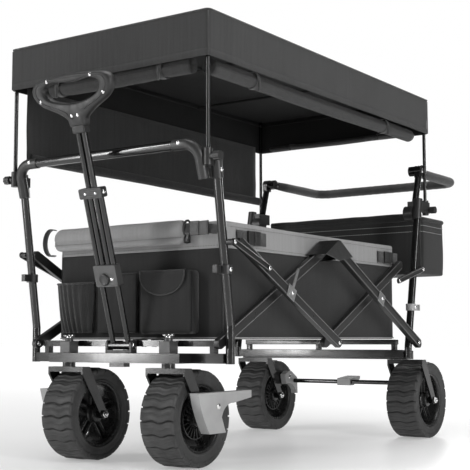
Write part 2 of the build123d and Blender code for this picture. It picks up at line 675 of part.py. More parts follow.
with BuildPart() as basket:
    open_tub((-BASKET_X, BASKET_X), BASKET_Y, BASKET_Z[:2], 4, 22)
save(basket, "basket")

with BuildPart() as basket_band:
    with BuildSketch(Plane.XY.offset(BASKET_Z[1])) as ring:
        with Locations((0, sum(BASKET_Y) / 2 + MIDDLE_Y)):
            RectangleRounded(2 * BASKET_X, BASKET_Y[1] - BASKET_Y[0], 22)
            RectangleRounded(2 * BASKET_X - 8, BASKET_Y[1] - BASKET_Y[0] - 8, 18, mode=Mode.SUBTRACT)
    extrude(ring.sketch, amount=BASKET_Z[2] - BASKET_Z[1])
save(basket_band, "basket_band")

with BuildPart() as front_flap:
    side_shape([(-403, 462), (-378.4, 462), (-378.4, 513), (-403, 513)], (-232, 150), 9)
save(front_flap, "front_flap")

with BuildPart() as front_pockets:
    front = BASKET_Y[0] - 0.2
    block((20, 170), (front - 28, front), (274, 408))
    block((-106, 0), (front - 11, front), (277, 410))
    open_tub((-222, -114), (front - 44, front), (277, 390), 2.5, 8)
save(front_pockets, "front_pockets")

STRAPS = ((-340, 477), (300, 474))  # (y, z) of each strap's front end
STRAP_LENGTH = 118.0
with BuildPart() as basket_straps:
    for y, z in STRAPS:
        block((BASKET_X + 0.3, BASKET_X + 9), (y, y + STRAP_LENGTH), (z - 16, z + 16))
    mirror(about=Plane.YZ)
save(basket_straps, "basket_straps")

# The roof is a deep cap with an open underside.
with BuildPart() as roof:
    with BuildSketch(Plane.XY.offset(ROOF_Z[0])) as outside:
        with Locations((0, sum(ROOF_Y) / 2 + MIDDLE_Y)):
            RectangleRounded(2 * ROOF_X, ROOF_Y[1] - ROOF_Y[0], 8)
    extrude(outside.sketch, amount=ROOF_Z[1] - ROOF_Z[0])
    with BuildSketch(Plane.XY.offset(ROOF_Z[0] - 1)) as inside:
        with Locations((0, sum(ROOF_Y) / 2 + MIDDLE_Y)):
            RectangleRounded(2 * (ROOF_X - CLOTH), ROOF_Y[1] - ROOF_Y[0] - 2 * CLOTH, 5)
    extrude(inside.sketch, amount=ROOF_Z[1] - ROOF_Z[0] - 2, mode=Mode.SUBTRACT)
save(roof, "roof")

ROLL_RADIUS = 19.0
ROLL_Z = 819.0
with BuildPart() as rolled_panels:
    cross_rod((-218, 218), -465, ROLL_Z, ROLL_RADIUS)
    rod(at(241, -440, ROLL_Z), at(241, 490, ROLL_Z), ROLL_RADIUS)
save(rolled_panels, "rolled_panels")

with BuildPart() as rear_roll:
    cross_rod((-218, 218), 514, ROLL_Z, ROLL_RADIUS)
save(rear_roll, "rear_roll")

with BuildPart() as left_curtain:
    block((-253, -250), (-455, 490), (670, 838))
    rod(at(-250, -455, 672), at(-250, 490, 672), 13)
save(left_curtain, "left_curtain")

with BuildPart() as rear_bag:
    open_tub((-250, 250), (545, 700), (440, 600), 3, 14)
save(rear_bag, "rear_bag")
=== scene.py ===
import json
from math import cos, degrees, hypot, pi, radians, sin

import bmesh
import bpy
from mathutils import Matrix, Vector, noise

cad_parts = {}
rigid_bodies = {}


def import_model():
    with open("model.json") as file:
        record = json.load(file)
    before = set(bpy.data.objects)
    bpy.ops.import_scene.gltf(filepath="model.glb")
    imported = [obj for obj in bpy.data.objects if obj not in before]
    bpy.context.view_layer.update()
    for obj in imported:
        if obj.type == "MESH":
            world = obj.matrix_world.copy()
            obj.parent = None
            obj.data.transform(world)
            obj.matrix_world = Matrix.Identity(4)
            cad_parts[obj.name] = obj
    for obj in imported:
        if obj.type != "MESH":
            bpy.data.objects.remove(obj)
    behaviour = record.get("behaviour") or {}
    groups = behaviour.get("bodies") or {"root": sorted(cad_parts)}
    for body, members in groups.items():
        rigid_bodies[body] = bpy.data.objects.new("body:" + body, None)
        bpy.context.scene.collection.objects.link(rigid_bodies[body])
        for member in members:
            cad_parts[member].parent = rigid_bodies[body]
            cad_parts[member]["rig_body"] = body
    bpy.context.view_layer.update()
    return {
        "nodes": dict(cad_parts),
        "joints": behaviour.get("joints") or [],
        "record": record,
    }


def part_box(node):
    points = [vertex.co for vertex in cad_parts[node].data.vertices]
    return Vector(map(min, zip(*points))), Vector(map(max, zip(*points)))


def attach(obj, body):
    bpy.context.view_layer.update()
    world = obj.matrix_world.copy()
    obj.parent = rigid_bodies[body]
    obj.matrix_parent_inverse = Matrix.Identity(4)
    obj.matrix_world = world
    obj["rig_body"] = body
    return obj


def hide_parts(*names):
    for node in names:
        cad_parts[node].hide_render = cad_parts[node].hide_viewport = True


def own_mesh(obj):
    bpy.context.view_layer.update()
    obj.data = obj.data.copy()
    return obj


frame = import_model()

# A folding camp wagon. Points are given in millimetres, with y from the middle between the end
# frames, and at() turns them into metres in the model's own frame.
MM = 0.001
MIDDLE_Y = (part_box("front_rails")[1].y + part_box("rear_rails")[0].y) / 2
JOINTS = {joint["name"]: joint for joint in frame["joints"]}
NODES = frame["nodes"]
SIDES = (-1, 1)
RIGHT, BACK, UP = Vector((1, 0, 0)), Vector((0, 1, 0)), Vector((0, 0, 1))


def at(x, y, z):
    """A point in metres from millimetres."""
    return Vector((x * MM, y * MM + MIDDLE_Y, z * MM))


def span(node, axis):
    """A CAD node's lowest and highest value on an axis, in this script's millimetres."""
    shift = MIDDLE_Y if axis == 1 else 0.0
    return [(corner[axis] - shift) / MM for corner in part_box(node)]


def midway(node, axis):
    """The middle of a CAD node's range on an axis."""
    return sum(span(node, axis)) / 2


def pivot(joint):
    """A joint's place as (y, z) in millimetres."""
    place = JOINTS[joint]["pos_m"]
    return (place[1] - MIDDLE_Y) / MM, place[2] / MM


def mix(a, b, share):
    return a + (b - a) * share


# ---------------------------------------------------------------- materials
def linear(level):
    """A screen grey of 0 to 255, or three of them, as linear colour."""
    levels = level if isinstance(level, tuple) else (level,) * 3
    return tuple(((v / 255 + 0.055) / 1.055) ** 2.4 if v > 10 else v / 255 / 12.92 for v in levels)


class Look:
    """A material under construction: its principled shader and a few node helpers."""

    def __init__(self, name, level, roughness, **sockets):
        self.material = bpy.data.materials.new(name)
        self.material.use_nodes = True
        self.tree = self.material.node_tree
        self.shader = self.tree.nodes["Principled BSDF"]
        self.level = level
        self.shader.inputs["Base Color"].default_value = (*linear(level), 1)
        self.shader.inputs["Roughness"].default_value = roughness
        self.place = self.node("ShaderNodeTexCoord").outputs["Object"]
        for socket, value in sockets.items():
            self.shader.inputs[socket.replace("_", " ")].default_value = value

    def node(self, kind, inputs=(), **settings):
        made = self.tree.nodes.new(kind)
        for key, value in settings.items():
            setattr(made, key, value)
        for key, value in dict(inputs).items():
            if isinstance(value, bpy.types.NodeSocket):
                self.tree.links.new(value, made.inputs[key])
            else:
                made.inputs[key].default_value = value
        return made

    def stretched(self, scale):
        return self.node("ShaderNodeMapping", {"Vector": self.place, "Scale": scale}).outputs[0]

    def noise(self, scale, detail=3.0, place=None):
        settings = {"Vector": place or self.place, "Scale": scale, "Detail": detail}
        return self.node("ShaderNodeTexNoise", settings).outputs["Fac"]

    def math(self, operation, a, b):
        return self.node("ShaderNodeMath", {0: a, 1: b}, operation=operation).outputs[0]

    def ramp(self, value, low, high, start=0.3, end=0.7):
        """Takes a value between start and end to a number between low and high."""
        settings = {"Value": value, "From Min": start, "From Max": end, "To Min": low, "To Max": high}
        return self.node("ShaderNodeMapRange", settings).outputs[0]

    def shade(self, value, low, high):
        """Base colour that runs from low to high times the material's own."""
        between = self.node("ShaderNodeMix", {"Factor": value}, data_type="RGBA")
        for socket, share in (("A", low), ("B", high)):
            colour = tuple(min(1.0, part * share) for part in linear(self.level))
            slot = [s for s in between.inputs if s.name == socket and s.type == "RGBA"][0]
            slot.default_value = (*colour, 1)
        result = [s for s in between.outputs if s.type == "RGBA"][0]
        self.tree.links.new(result, self.shader.inputs["Base Color"])

    def rough(self, value):
        self.tree.links.new(value, self.shader.inputs["Roughness"])

    def wave(self, period, way):
        """Bands that repeat over a number of millimetres."""
        settings = {"Vector": self.place, "Scale": 2 * pi / (20 * period * MM)}
        return self.node("ShaderNodeTexWave", settings, bands_direction=way).outputs["Fac"]

    def bump(self, height, distance, strength=1.0):
        settings = {"Height": height, "Distance": distance, "Strength": strength}
        made = self.node("ShaderNodeBump", settings)
        self.tree.links.new(made.outputs[0], self.shader.inputs["Normal"])


def moulded(name, level, roughness, grain=900, depth=0.00012, **sockets):
    """Moulded plastic: a fine spark-eroded grain, with scuffs that vary the gloss."""
    made = Look(name, level, roughness, **sockets)
    made.shade(made.ramp(made.noise(14), 0, 1), 0.86, 1.16)
    made.rough(made.ramp(made.noise(60, 5), roughness - 0.08, roughness + 0.1))
    made.bump(made.noise(grain, 2), depth, 0.6)
    return made.material


def painted(name, level, roughness):
    """Powder coat: a soft orange peel under a clear skin."""
    made = Look(name, level, roughness, Coat_Weight=0.2, Coat_Roughness=0.08)
    made.shader.inputs["Specular IOR Level"].default_value = 0.42
    made.shade(made.ramp(made.noise(9), 0, 1), 0.85, 1.2)
    made.rough(made.ramp(made.noise(30, 4), roughness - 0.03, roughness + 0.07))
    made.bump(made.noise(260, 2), 0.00003, 0.3)
    return made.material


def steel(name, level, roughness, blotch):
    """Plated steel: metal with a cloudy, slightly brushed surface."""
    made = Look(name, level, roughness, Metallic=1.0)
    brushed = made.noise(60, 4, made.stretched((1, 1, 12)))
    made.shade(made.ramp(made.noise(90, 4), 0, 1), 1 - blotch, 1 + blotch / 2)
    made.rough(made.ramp(brushed, roughness - 0.08, roughness + 0.12))
    made.bump(brushed, 0.00008, 0.4)
    return made.material


def woven(name, level, period, roughness=0.9, spread=0.12, sheen=0.25, depth=0.0004):
    """Plain-weave polyester: crossing threads, a heathered colour and faint long streaks."""
    made = Look(name, level, roughness, Sheen_Weight=sheen, Sheen_Roughness=0.45)
    made.shader.inputs["Specular IOR Level"].default_value = 0.3
    waves = [made.wave(period, way) for way in "XYZ"]
    threads = made.math("ADD", made.math("ADD", waves[0], waves[1]), waves[2])
    streaks = made.noise(150, 2, made.stretched((1, 1, 0.03)))
    heather = made.noise(700, 2)
    cloud = made.noise(7, 3)
    tone = made.math("ADD", made.math("MULTIPLY", streaks, 0.5), made.math("MULTIPLY", heather, 0.3))
    tone = made.math("ADD", tone, made.math("MULTIPLY", cloud, 0.2))
    made.shade(made.ramp(tone, 0, 1, 0.38, 0.62), 1 - spread, 1 + spread)
    made.bump(made.math("ADD", threads, made.math("MULTIPLY", cloud, 2)), depth, 0.5)
    return made.material


def ribbed(name, level, period):
    """Webbing: ribs across the strap with a bright fibre here and there."""
    made = Look(name, level, 0.8, Sheen_Weight=0.3)
    ribs = made.wave(period, "DIAGONAL")
    made.shade(made.ramp(made.noise(500, 2), 0, 1), 0.75, 1.35)
    made.bump(ribs, 0.0005, 0.7)
    return made.material


def rubber(name, level):
    """Tyre rubber: matt, a little dusty on the outside, with moulding grain."""
    made = Look(name, level, 0.62)
    made.shade(made.ramp(made.noise(16, 5), 0, 1), 0.78, 1.22)
    made.rough(made.ramp(made.noise(40, 4), 0.5, 0.78))
    made.bump(made.noise(1300, 2), 0.0002, 0.7)
    return made.material


def foamed(name, level):
    """Foam grip: small closed cells."""
    made = Look(name, level, 0.85, Sheen_Weight=0.15)
    cells = made.node("ShaderNodeTexVoronoi", {"Vector": made.place, "Scale": 650.0}).outputs["Distance"]
    made.shade(made.ramp(made.noise(35, 4), 0, 1), 0.8, 1.3)
    made.bump(cells, 0.0005, 0.8)
    return made.material


TUBE = painted("powder_coat_black", 17, 0.17)
BAR = painted("powder_coat_bar", 26, 0.3)
# Light grey for the cords along the bar edges: a painted highlight, not the powder coat's own colour.
BAR_EDGE_HIGHLIGHT = painted("painted_edge_highlight", 96, 0.28)
PLASTIC = moulded("plastic_black", 33, 0.38)
GRIP_PLASTIC = moulded("plastic_grip", 26, 0.5, grain=1400, depth=0.00003)
GREY = moulded("plastic_grey", 150, 0.4, grain=1100, depth=0.00005)
CLAMP_GREY = moulded("plastic_clamp", 62, 0.38)
RIM = moulded("plastic_rim", 38, 0.26, grain=500, depth=0.00005)
ZINC = steel("zinc_plate", 172, 0.34, 0.18)
BRIGHT = steel("bright_steel", 226, 0.16, 0.06)
RUBBER = rubber("tyre_rubber", 52)
FOAM = foamed("grip_foam", 44)
BASKET = woven("basket_cloth", 38, 1.4, sheen=0.12)
ROOF = woven("roof_cloth", 50, 1.1, spread=0.16, sheen=0.12)
LINING = woven("roof_lining", 24, 1.1, sheen=0.03)
BAND = woven("band_cloth", 136, 1.3, spread=0.06)
WEBBING = ribbed("webbing", 36, 1.8)
EDGING = woven("edging", 56, 0.8)
THREAD = woven("thread", 168, 0.4, spread=0.2)
NET = woven("pocket_net", 44, 2.6, spread=0.3, depth=0.0009)


# ---------------------------------------------------------------- mesh helpers
def build(name, points, faces, look):
    """A smooth mesh object, not yet riding on anything."""
    mesh = bpy.data.meshes.new(name)
    mesh.from_pydata(points, [], faces)
    mesh.shade_smooth()
    mesh.materials.append(look)
    mesh.update()
    piece = bpy.data.objects.new(name, mesh)
    bpy.context.scene.collection.objects.link(piece)
    return piece


def skin_faces(count, across, closed, flip):
    """Quads between rows of points."""
    faces = []
    for i in range(count - 1):
        for j in range(across if closed else across - 1):
            k = (j + 1) % across
            corners = ((i + 1) * across + j, (i + 1) * across + k, i * across + k, i * across + j)
            faces.append(corners[::-1] if flip else corners)
    return faces


def skin(name, rows, look, closed=True, flip=False):
    """A sheet through rows of points. Closed joins each row's ends."""
    points = [point for row in rows for point in row]
    return build(name, points, skin_faces(len(rows), len(rows[0]), closed, flip), look)


def thicken(piece, thickness, lining=None, offset=-1.0):
    """Gives a sheet its thickness, with a lining on its other side if asked."""
    solid = piece.modifiers.new("thickness", "SOLIDIFY")
    solid.thickness = thickness * MM
    solid.offset = offset
    if lining:
        piece.data.materials.append(lining)
        solid.material_offset = 1
        solid.material_offset_rim = 0
    return piece


def subdivide(piece, levels=1):
    smooth = piece.modifiers.new("smooth", "SUBSURF")
    smooth.levels = levels
    smooth.render_levels = levels
    return piece


def bevel(piece, width, segments=2, angle=35):
    edge = piece.modifiers.new("edges", "BEVEL")
    edge.width = width * MM
    edge.segments = segments
    edge.limit_method = "ANGLE"
    edge.angle_limit = radians(angle)
    edge.harden_normals = True
    return piece


def gather(name, parts, look):
    """One object from several lists of points and faces."""
    points, faces = [], []
    for part_points, part_faces in parts:
        start = len(points)
        points += part_points
        faces += [tuple(start + index for index in face) for face in part_faces]
    return build(name, points, faces, look)


def frames_along(points, closed=False):
    """A tangent and two crossing directions at each point of a path, turning as little as they can."""
    count = len(points)
    side = None
    found = []
    for index, point in enumerate(points):
        if closed:
            tangent = points[(index + 1) % count] - points[index - 1]
        else:
            tangent = points[min(index + 1, count - 1)] - points[max(index - 1, 0)]
        tangent = tangent.normalized()
        if side is None:
            start = UP if abs(tangent.z) < 0.9 else BACK
            side = tangent.cross(start)
        side = (side - tangent * side.dot(tangent)).normalized()
        found.append((point, side, tangent.cross(side)))
    return found


def tube_part(points, radius, sides=8, closed=False):
    """Points and faces of a round cord along a path, in millimetres of radius."""
    rings = []
    for place, side, up in frames_along(points, closed):
        angles = [2 * pi * k / sides for k in range(sides)]
        rings.append([place + (side * cos(a) + up * sin(a)) * radius * MM for a in angles])
    if closed:
        rings.append(rings[0])
    faces = skin_faces(len(rings), sides, True, True)
    if not closed:
        last = (len(rings) - 1) * sides
        faces += [tuple(range(sides))[::-1], tuple(range(last, last + sides))]
    return [point for ring in rings for point in ring], faces


def box_part(centre, axes, size):
    """Points and faces of a box with given half-axes directions and full sizes in millimetres."""
    points = []
    for i in SIDES:
        for j in SIDES:
            for k in SIDES:
                reach = [axis * sign * length * MM / 2 for axis, sign, length in zip(axes, (i, j, k), size)]
                points.append(centre + sum(reach, Vector()))
    faces = [(0, 1, 3, 2), (4, 6, 7, 5), (0, 4, 5, 1), (2, 3, 7, 6), (0, 2, 6, 4), (1, 5, 7, 3)]
    if axes[0].cross(axes[1]).dot(axes[2]) < 0:
        faces = [face[::-1] for face in faces]
    return points, faces


def across(direction):
    """Two directions square to one."""
    start = UP if abs(direction.z) < 0.9 else RIGHT
    side = direction.cross(start).normalized()
    return side, direction.cross(side).normalized()


def turned_part(centre, axis, profile, sides=24):
    """Points and faces of a body turned about an axis. The profile is (reach, radius) pairs."""
    side, up = across(axis)
    points = []
    for reach, radius in profile:
        for k in range(sides):
            angle = 2 * pi * k / sides
            spoke = (side * cos(angle) + up * sin(angle)) * radius
            points.append(centre + (axis * reach + spoke) * MM)
    faces = skin_faces(len(profile), sides, True, False)
    faces += [tuple(range(sides)), tuple(range(len(points) - sides, len(points)))[::-1]]
    return points, faces


def dome_part(centre, axis, radius, height):
    """A domed rivet head with a flat rim, standing on a surface."""
    profile = [(-0.5, radius), (height * 0.25, radius), (height * 0.3, radius * 0.88)]
    profile += [(height * mix(0.45, 1, t), radius * 0.86 * cos(t * 1.35)) for t in (0, 0.35, 0.65, 0.85, 1)]
    return turned_part(centre, axis, profile, 16)


def nut_part(centre, axis, width, height, stud):
    """A hexagon nut with the end of its bolt."""
    nut = turned_part(centre, axis, [(-0.3, width), (height * 0.8, width), (height, width * 0.86)], 6)
    end = turned_part(centre, axis, [(0, stud), (height + 2, stud), (height + 3, stud * 0.7)], 14)
    start = len(nut[0])
    return nut[0] + end[0], nut[1] + [tuple(start + index for index in face) for face in end[1]]


STRAP_SECTION = ((-1, 0), (-0.94, 1), (0, 1.1), (0.94, 1), (1, 0), (0.94, -1), (0, -1.1), (-0.94, -1))


def strap(name, points, wide, width, thickness, look, body):
    """Webbing along a path, its width along one direction, with soft edges."""
    wide = wide.normalized()
    rows = []
    for index, point in enumerate(points):
        ahead = points[min(index + 1, len(points) - 1)] - points[max(index - 1, 0)]
        face = ahead.normalized().cross(wide).normalized()
        rows.append([point + wide * share * width / 2 * MM + face * out * thickness / 2 * MM
                     for share, out in STRAP_SECTION])
    return wear(skin(name, rows, look), body, "webbing")


def stitches(points, radius=0.45, length=3.6, gap=1.6):
    """Parts for a row of stitches along a path."""
    parts = []
    for start, end in zip(points, points[1:]):
        run = end - start
        steps = int(run.length / ((length + gap) * MM))
        if not steps:
            continue
        ahead = run.normalized()
        side, up = across(ahead)
        for k in range(steps):
            middle = start + run * ((k + 0.5) / steps)
            parts.append(box_part(middle, (ahead, side, up), (length, radius * 2, radius * 2)))
    return parts


def mend(piece, caps=(), merge=0.0, outward=True):
    """Closes rings of points with faces, joins points that meet, and turns the faces outward."""
    mesh = bmesh.new()
    mesh.from_mesh(piece.data)
    mesh.verts.ensure_lookup_table()
    for cap in caps:
        mesh.faces.new([mesh.verts[k] for k in cap])
    if merge:
        bmesh.ops.remove_doubles(mesh, verts=mesh.verts, dist=merge)
    if outward:
        bmesh.ops.recalc_face_normals(mesh, faces=mesh.faces)
    mesh.to_mesh(piece.data)
    mesh.free()


def wear(piece, body, slot_name, *replaced):
    """Puts a finished piece on its body and in place of CAD nodes. Its material slot name is not used."""
    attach(piece, body)
    if replaced:
        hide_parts(*replaced)
    return piece


def fold_with(piece):
    """Gives a soft piece its own copy of its mesh."""
    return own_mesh(piece)


def rounded_loop(a, b, corner, spacing, steps=4):
    """Round a rectangle with rounded corners: (a, b, outward a, outward b) in order."""
    low_a, high_a = a
    low_b, high_b = b
    centres = [
        (high_a - corner, low_b + corner, -90),
        (high_a - corner, high_b - corner, 0),
        (low_a + corner, high_b - corner, 90),
        (low_a + corner, low_b + corner, 180),
    ]
    loop = []
    for index, (centre_a, centre_b, start) in enumerate(centres):
        for step in range(steps + 1):
            turn = radians(start + 90 * step / steps)
            out = cos(turn), sin(turn)
            loop.append((centre_a + corner * out[0], centre_b + corner * out[1], *out))
        next_a, next_b, next_start = centres[(index + 1) % 4]
        goal = next_a + corner * cos(radians(next_start)), next_b + corner * sin(radians(next_start))
        here = loop[-1]
        count = max(1, int(hypot(goal[0] - here[0], goal[1] - here[1]) / spacing))
        for step in range(1, count):
            share = step / count
            loop.append((mix(here[0], goal[0], share), mix(here[1], goal[1], share), here[2], here[3]))
    return loop


def ring(loop, z, out):
    """Points round a loop at one height, standing off it by a number or by what a function says."""
    row = []
    for x, y, nx, ny in loop:
        far = out(x, y, z, nx, ny) if callable(out) else out
        row.append(at(x + nx * far, y + ny * far, z))
    return row


def disc(loop, centre, count, reach, place):
    """Rows of points from a loop's centre towards it, each put in its place by a function."""
    rows = []
    for step in range(1, count + 1):
        share = step / count * reach
        row = []
        for x, y, _, _ in loop:
            a, b = centre[0] + (x - centre[0]) * share, centre[1] + (y - centre[1]) * share
            row.append(place(a, b, share))
        rows.append(row)
    return rows


def crease(a, b, c, size, seed=0.0):
    """Smooth folds between -1 and 1 that repeat over about size millimetres."""
    return noise.noise(Vector((a / size + seed, b / size + seed * 1.7, c / size)))


# ---------------------------------------------------------------- roof
ROOF_X = span("roof", 0)[1]
ROOF_Y = span("roof", 1)
ROOF_Z = span("roof", 2)
ROOF_EDGE = 6.0
ROOF_CORNER = 9
ROOF_SAG = 7.0
SKIRT_ROWS = 12


def roof_height(x, y):
    """The roof cloth's height: it sags a little between its edges."""
    across_share = 1 - (x / ROOF_X) ** 2
    along_share = 1 - ((y - sum(ROOF_Y) / 2) / (ROOF_Y[1] - ROOF_Y[0]) * 2) ** 2
    hollow = max(0.0, across_share) * max(0.0, along_share) ** 0.5
    return ROOF_Z[1] - 1 - ROOF_SAG * hollow + 1.2 * crease(x, y, 0, 170, 3.1) * min(1, hollow * 3)


def skirt_wave(x, y, z, share):
    """How far the skirt waves off its outline, more towards its hem."""
    return (2.6 * crease(x, y, z, 150, 1.0) - 1.6) * share + 0.7 * crease(x, y, z, 38, 5.0) * share


def make_roof():
    loop = rounded_loop((-ROOF_X, ROOF_X), ROOF_Y, ROOF_CORNER, 16)
    centre = 0, sum(ROOF_Y) / 2
    rows = disc(loop, centre, 14, 1 - ROOF_EDGE / ROOF_X, lambda x, y, _: at(x, y, roof_height(x, y)))
    for turn in (30, 60, 90):
        inset = ROOF_EDGE * (1 - sin(radians(turn)))
        drop = ROOF_EDGE * (1 - cos(radians(turn)))
        rows.append(ring(loop, ROOF_Z[1] - 1 - drop, -inset))
    top = ROOF_Z[1] - 1 - ROOF_EDGE
    for step in range(1, SKIRT_ROWS + 1):
        share = step / SKIRT_ROWS
        z = mix(top, ROOF_Z[0] + 0.5, share)
        rows.append(ring(loop, z, lambda x, y, z, nx, ny: skirt_wave(x, y, z, share)))
    piece = skin("canopy_roof", rows, ROOF)
    mend(piece, [range(len(loop))], outward=False)
    wear(piece, "front_frame", "roof_fabric", "roof")
    drop = ROOF_Z[1] - ROOF_Z[0]
    fold_with(piece)
    thicken(piece, 1.8, LINING)
    piping = gather("canopy_piping", [tube_part(ring(loop, top + 3.5, 0.0), 1.6, 6, True)], EDGING)
    hem_rows = []
    for z, out in ((ROOF_Z[0] + 15, -0.4), (ROOF_Z[0] + 14, 1.0), (ROOF_Z[0] + 1, 1.0), (ROOF_Z[0], -0.2)):
        share = (top - z) / (top - ROOF_Z[0])
        hem_rows.append(ring(loop, z, lambda x, y, z, nx, ny: skirt_wave(x, y, z, share) + out))
    hem = skin("canopy_hem", hem_rows, ROOF)
    corners = []
    for x in SIDES:
        for y in ROOF_Y:
            inward = 1 if y < 0 else -1
            heights = top, top - 30, ROOF_Z[0] + 32, ROOF_Z[0] + 2
            path = [at(x * (ROOF_X - 2.2), y + inward * 2.2, z) for z in heights]
            corners.append(tube_part(path, 1.5, 6))
    seams = gather("canopy_corner_seams", corners, EDGING)
    for trim in (piping, hem, seams):
        wear(trim, "front_frame", "roof_fabric")
        fold_with(trim)


def make_roof_frame():
    """The thin rods under the roof that spread it, in their cloth sleeves."""
    level = ROOF_Z[1] - 16
    inset_x, inset_y = ROOF_X - 12, 14

    def rod(spots):
        return tube_part([at(x, y, min(level, roof_height(x, y) - 7)) for x, y in spots], 3.2, 8)

    parts = []
    for x in (-inset_x, 0, inset_x):
        parts.append(rod([(x, mix(ROOF_Y[0] + inset_y, ROOF_Y[1] - inset_y, k / 10)) for k in range(11)]))
    for y in (ROOF_Y[0] + inset_y, mix(*ROOF_Y, 0.34), mix(*ROOF_Y, 0.67), ROOF_Y[1] - inset_y):
        parts.append(rod([(mix(-inset_x, inset_x, k / 8), y) for k in range(9)]))
    piece = gather("canopy_rods", parts, LINING)
    wear(piece, "front_frame", "roof_fabric")
    fold_with(piece)


# ---------------------------------------------------------------- rolled side panels
def spiral(radius, turns, steps=18, start=0.0):
    """(across, up) points of a rolled cloth's edge, from the outside in."""
    count = int(turns * steps)
    found = []
    for k in range(count + 1):
        reach = radius * (1 - 0.8 * k / count)
        turn = start - 2 * pi * k / steps
        found.append((reach * cos(turn), reach * sin(turn)))
    return found


TIES = (0.17, 0.83)


def make_roll(name, start, end, radius, body, seed, replaced=(), wide=1.0, tall=1.0):
    """A panel rolled up between two points, tied at two places. A wide, low roll is one folded flat."""
    run = end - start
    ahead = run.normalized()
    side = ahead.cross(UP).normalized()
    edge = [(a * wide, b * tall) for a, b in spiral(radius - 1, 4.4)]
    rows = []
    count = int(run.length / (14 * MM))
    for k in range(count + 1):
        share = k / count
        tie = min(abs(share - TIES[0]), abs(share - TIES[1])) * run.length / MM
        pinch = 1 - 0.13 * max(0.0, 1 - tie / 16)
        droop = -2.0 * sin(pi * ((share - TIES[0]) / 0.66)) if TIES[0] < share < TIES[1] else 0.0
        row = []
        for a, b in edge:
            swell = pinch * (1 + 0.05 * crease(share * run.length / MM, a * 3, b * 3, 45, seed))
            row.append(start + run * share + side * a * swell * MM + Vector((0, 0, (b * swell + droop) * MM)))
        rows.append(row)
    piece = skin(name, rows, ROOF, closed=False)
    wear(piece, body, "roof_fabric", *replaced)
    ties = []
    for share in TIES:
        middle = start + run * share
        reach = (radius * 0.91 + 0.8) * MM
        turns = [2 * pi * k / 20 for k in range(20)]
        band = [middle + side * cos(a) * reach * wide + Vector((0, 0, sin(a) * reach * tall)) for a in turns]
        rings = [[point + ahead * offset * MM for point in band] for offset in (-6, -5.4, 5.4, 6)]
        tail = (0.9, 4), (1, -8), (0.95, -24)
        hang = [(radius * out * wide, drop * tall) for out, drop in tail]
        hang = [middle + side * x * MM + Vector((0, 0, z * MM)) for x, z in hang]
        points = [point for row in rings for point in row]
        ties.append((points, skin_faces(4, 20, True, False)))
        ties.append(tube_part(hang, 1.6, 6))
    tie = thicken(gather(name + "_ties", ties, WEBBING), 1.0, offset=1)
    wear(tie, body, "webbing")
    if body == "front_frame" and abs(ahead.y) > 0.5:
        fold_with(piece)
        fold_with(tie)
    thicken(piece, 1.1, offset=0)
    return piece


def make_rolls():
    radius = (span("rear_roll", 2)[1] - span("rear_roll", 2)[0]) / 2
    height = midway("rear_roll", 2)
    half = span("rear_roll", 0)[1]
    front_y = span("rolled_panels", 1)[0] + radius
    side_x = span("rolled_panels", 0)[1] - radius
    side_y = front_y + radius + 6, span("rolled_panels", 1)[1]
    rear_y = midway("rear_roll", 1)
    tucked = height + radius * 0.56
    make_roll("front_panel_roll", at(-half, front_y, height), at(half, front_y, height), radius,
              "front_frame", 1.0, ("rolled_panels",))
    make_roll("right_panel_roll", at(side_x, side_y[0], height), at(side_x, side_y[1], height), radius,
              "front_frame", 2.0)
    make_roll("rear_panel_roll", at(-half, rear_y, tucked), at(half, rear_y, tucked), radius,
              "rear_frame", 3.0, ("rear_roll",), 0.9, 0.42)


def make_curtain():
    """The left panel, let down, with its lower edge rolled up."""
    x, y, z = span("left_curtain", 0), span("left_curtain", 1), span("left_curtain", 2)
    roll = (x[1] - x[0]) / 2 - 0.5
    middle_x, low = sum(x) / 2, z[0] + roll
    hang_x = middle_x - roll
    line = [(hang_x, mix(z[1], low, k / 12)) for k in range(12)]
    line += [(middle_x + a, low + b) for a, b in spiral(roll, 3.0, 16, pi)]
    rows = []
    count = 56
    for k in range(count + 1):
        py = mix(y[0], y[1], k / count)
        row = []
        for px, pz in line:
            loose = max(0.0, min(1.0, (z[1] - pz) / 60))
            billow = 3.2 * crease(py, pz * 0.6, 0, 120, 2.0) + 1.2 * crease(py, pz, 0, 42, 7.0)
            row.append(at(px + loose * billow, py, pz + 1.5 * loose * crease(py, 0, 0, 200, 9.0)))
        rows.append(row)
    piece = skin("left_side_curtain", rows, ROOF, closed=False)
    wear(piece, "front_frame", "roof_fabric", "left_curtain")
    fold_with(piece)
    thicken(piece, 1.1, offset=0)


# ---------------------------------------------------------------- basket
BASKET_X = span("basket", 0)[1]
BASKET_Y = span("basket", 1)
BASKET_Z = span("basket", 2)
RIM_Z = span("basket_band", 2)[1]
BASKET_CORNER = 22.0


def basket_out(x, y, z, nx, ny):
    """How far the basket's cloth stands out from its box: fuller low down, pulled in at its corners."""
    height = (z - BASKET_Z[0]) / (RIM_Z - BASKET_Z[0])
    along = (x + BASKET_X) / 2 / BASKET_X
    if abs(nx) > 0.5:
        along = (y - BASKET_Y[0]) / (BASKET_Y[1] - BASKET_Y[0])
    full = max(0.0, sin(pi * min(1, max(0, along)))) ** 0.6 * sin(pi * min(1, height * 0.95 + 0.03))
    drag = crease(y + z * 0.7, x + z * 0.7, 0, 95, 4.0) + 0.6 * crease(y - z * 0.9, x - z * 0.9, 0, 60, 8.0)
    limit = 3.4 if abs(nx) > 0.5 else 1.0
    return limit * (full * 1.1 - 0.5) + 1.5 * drag * full


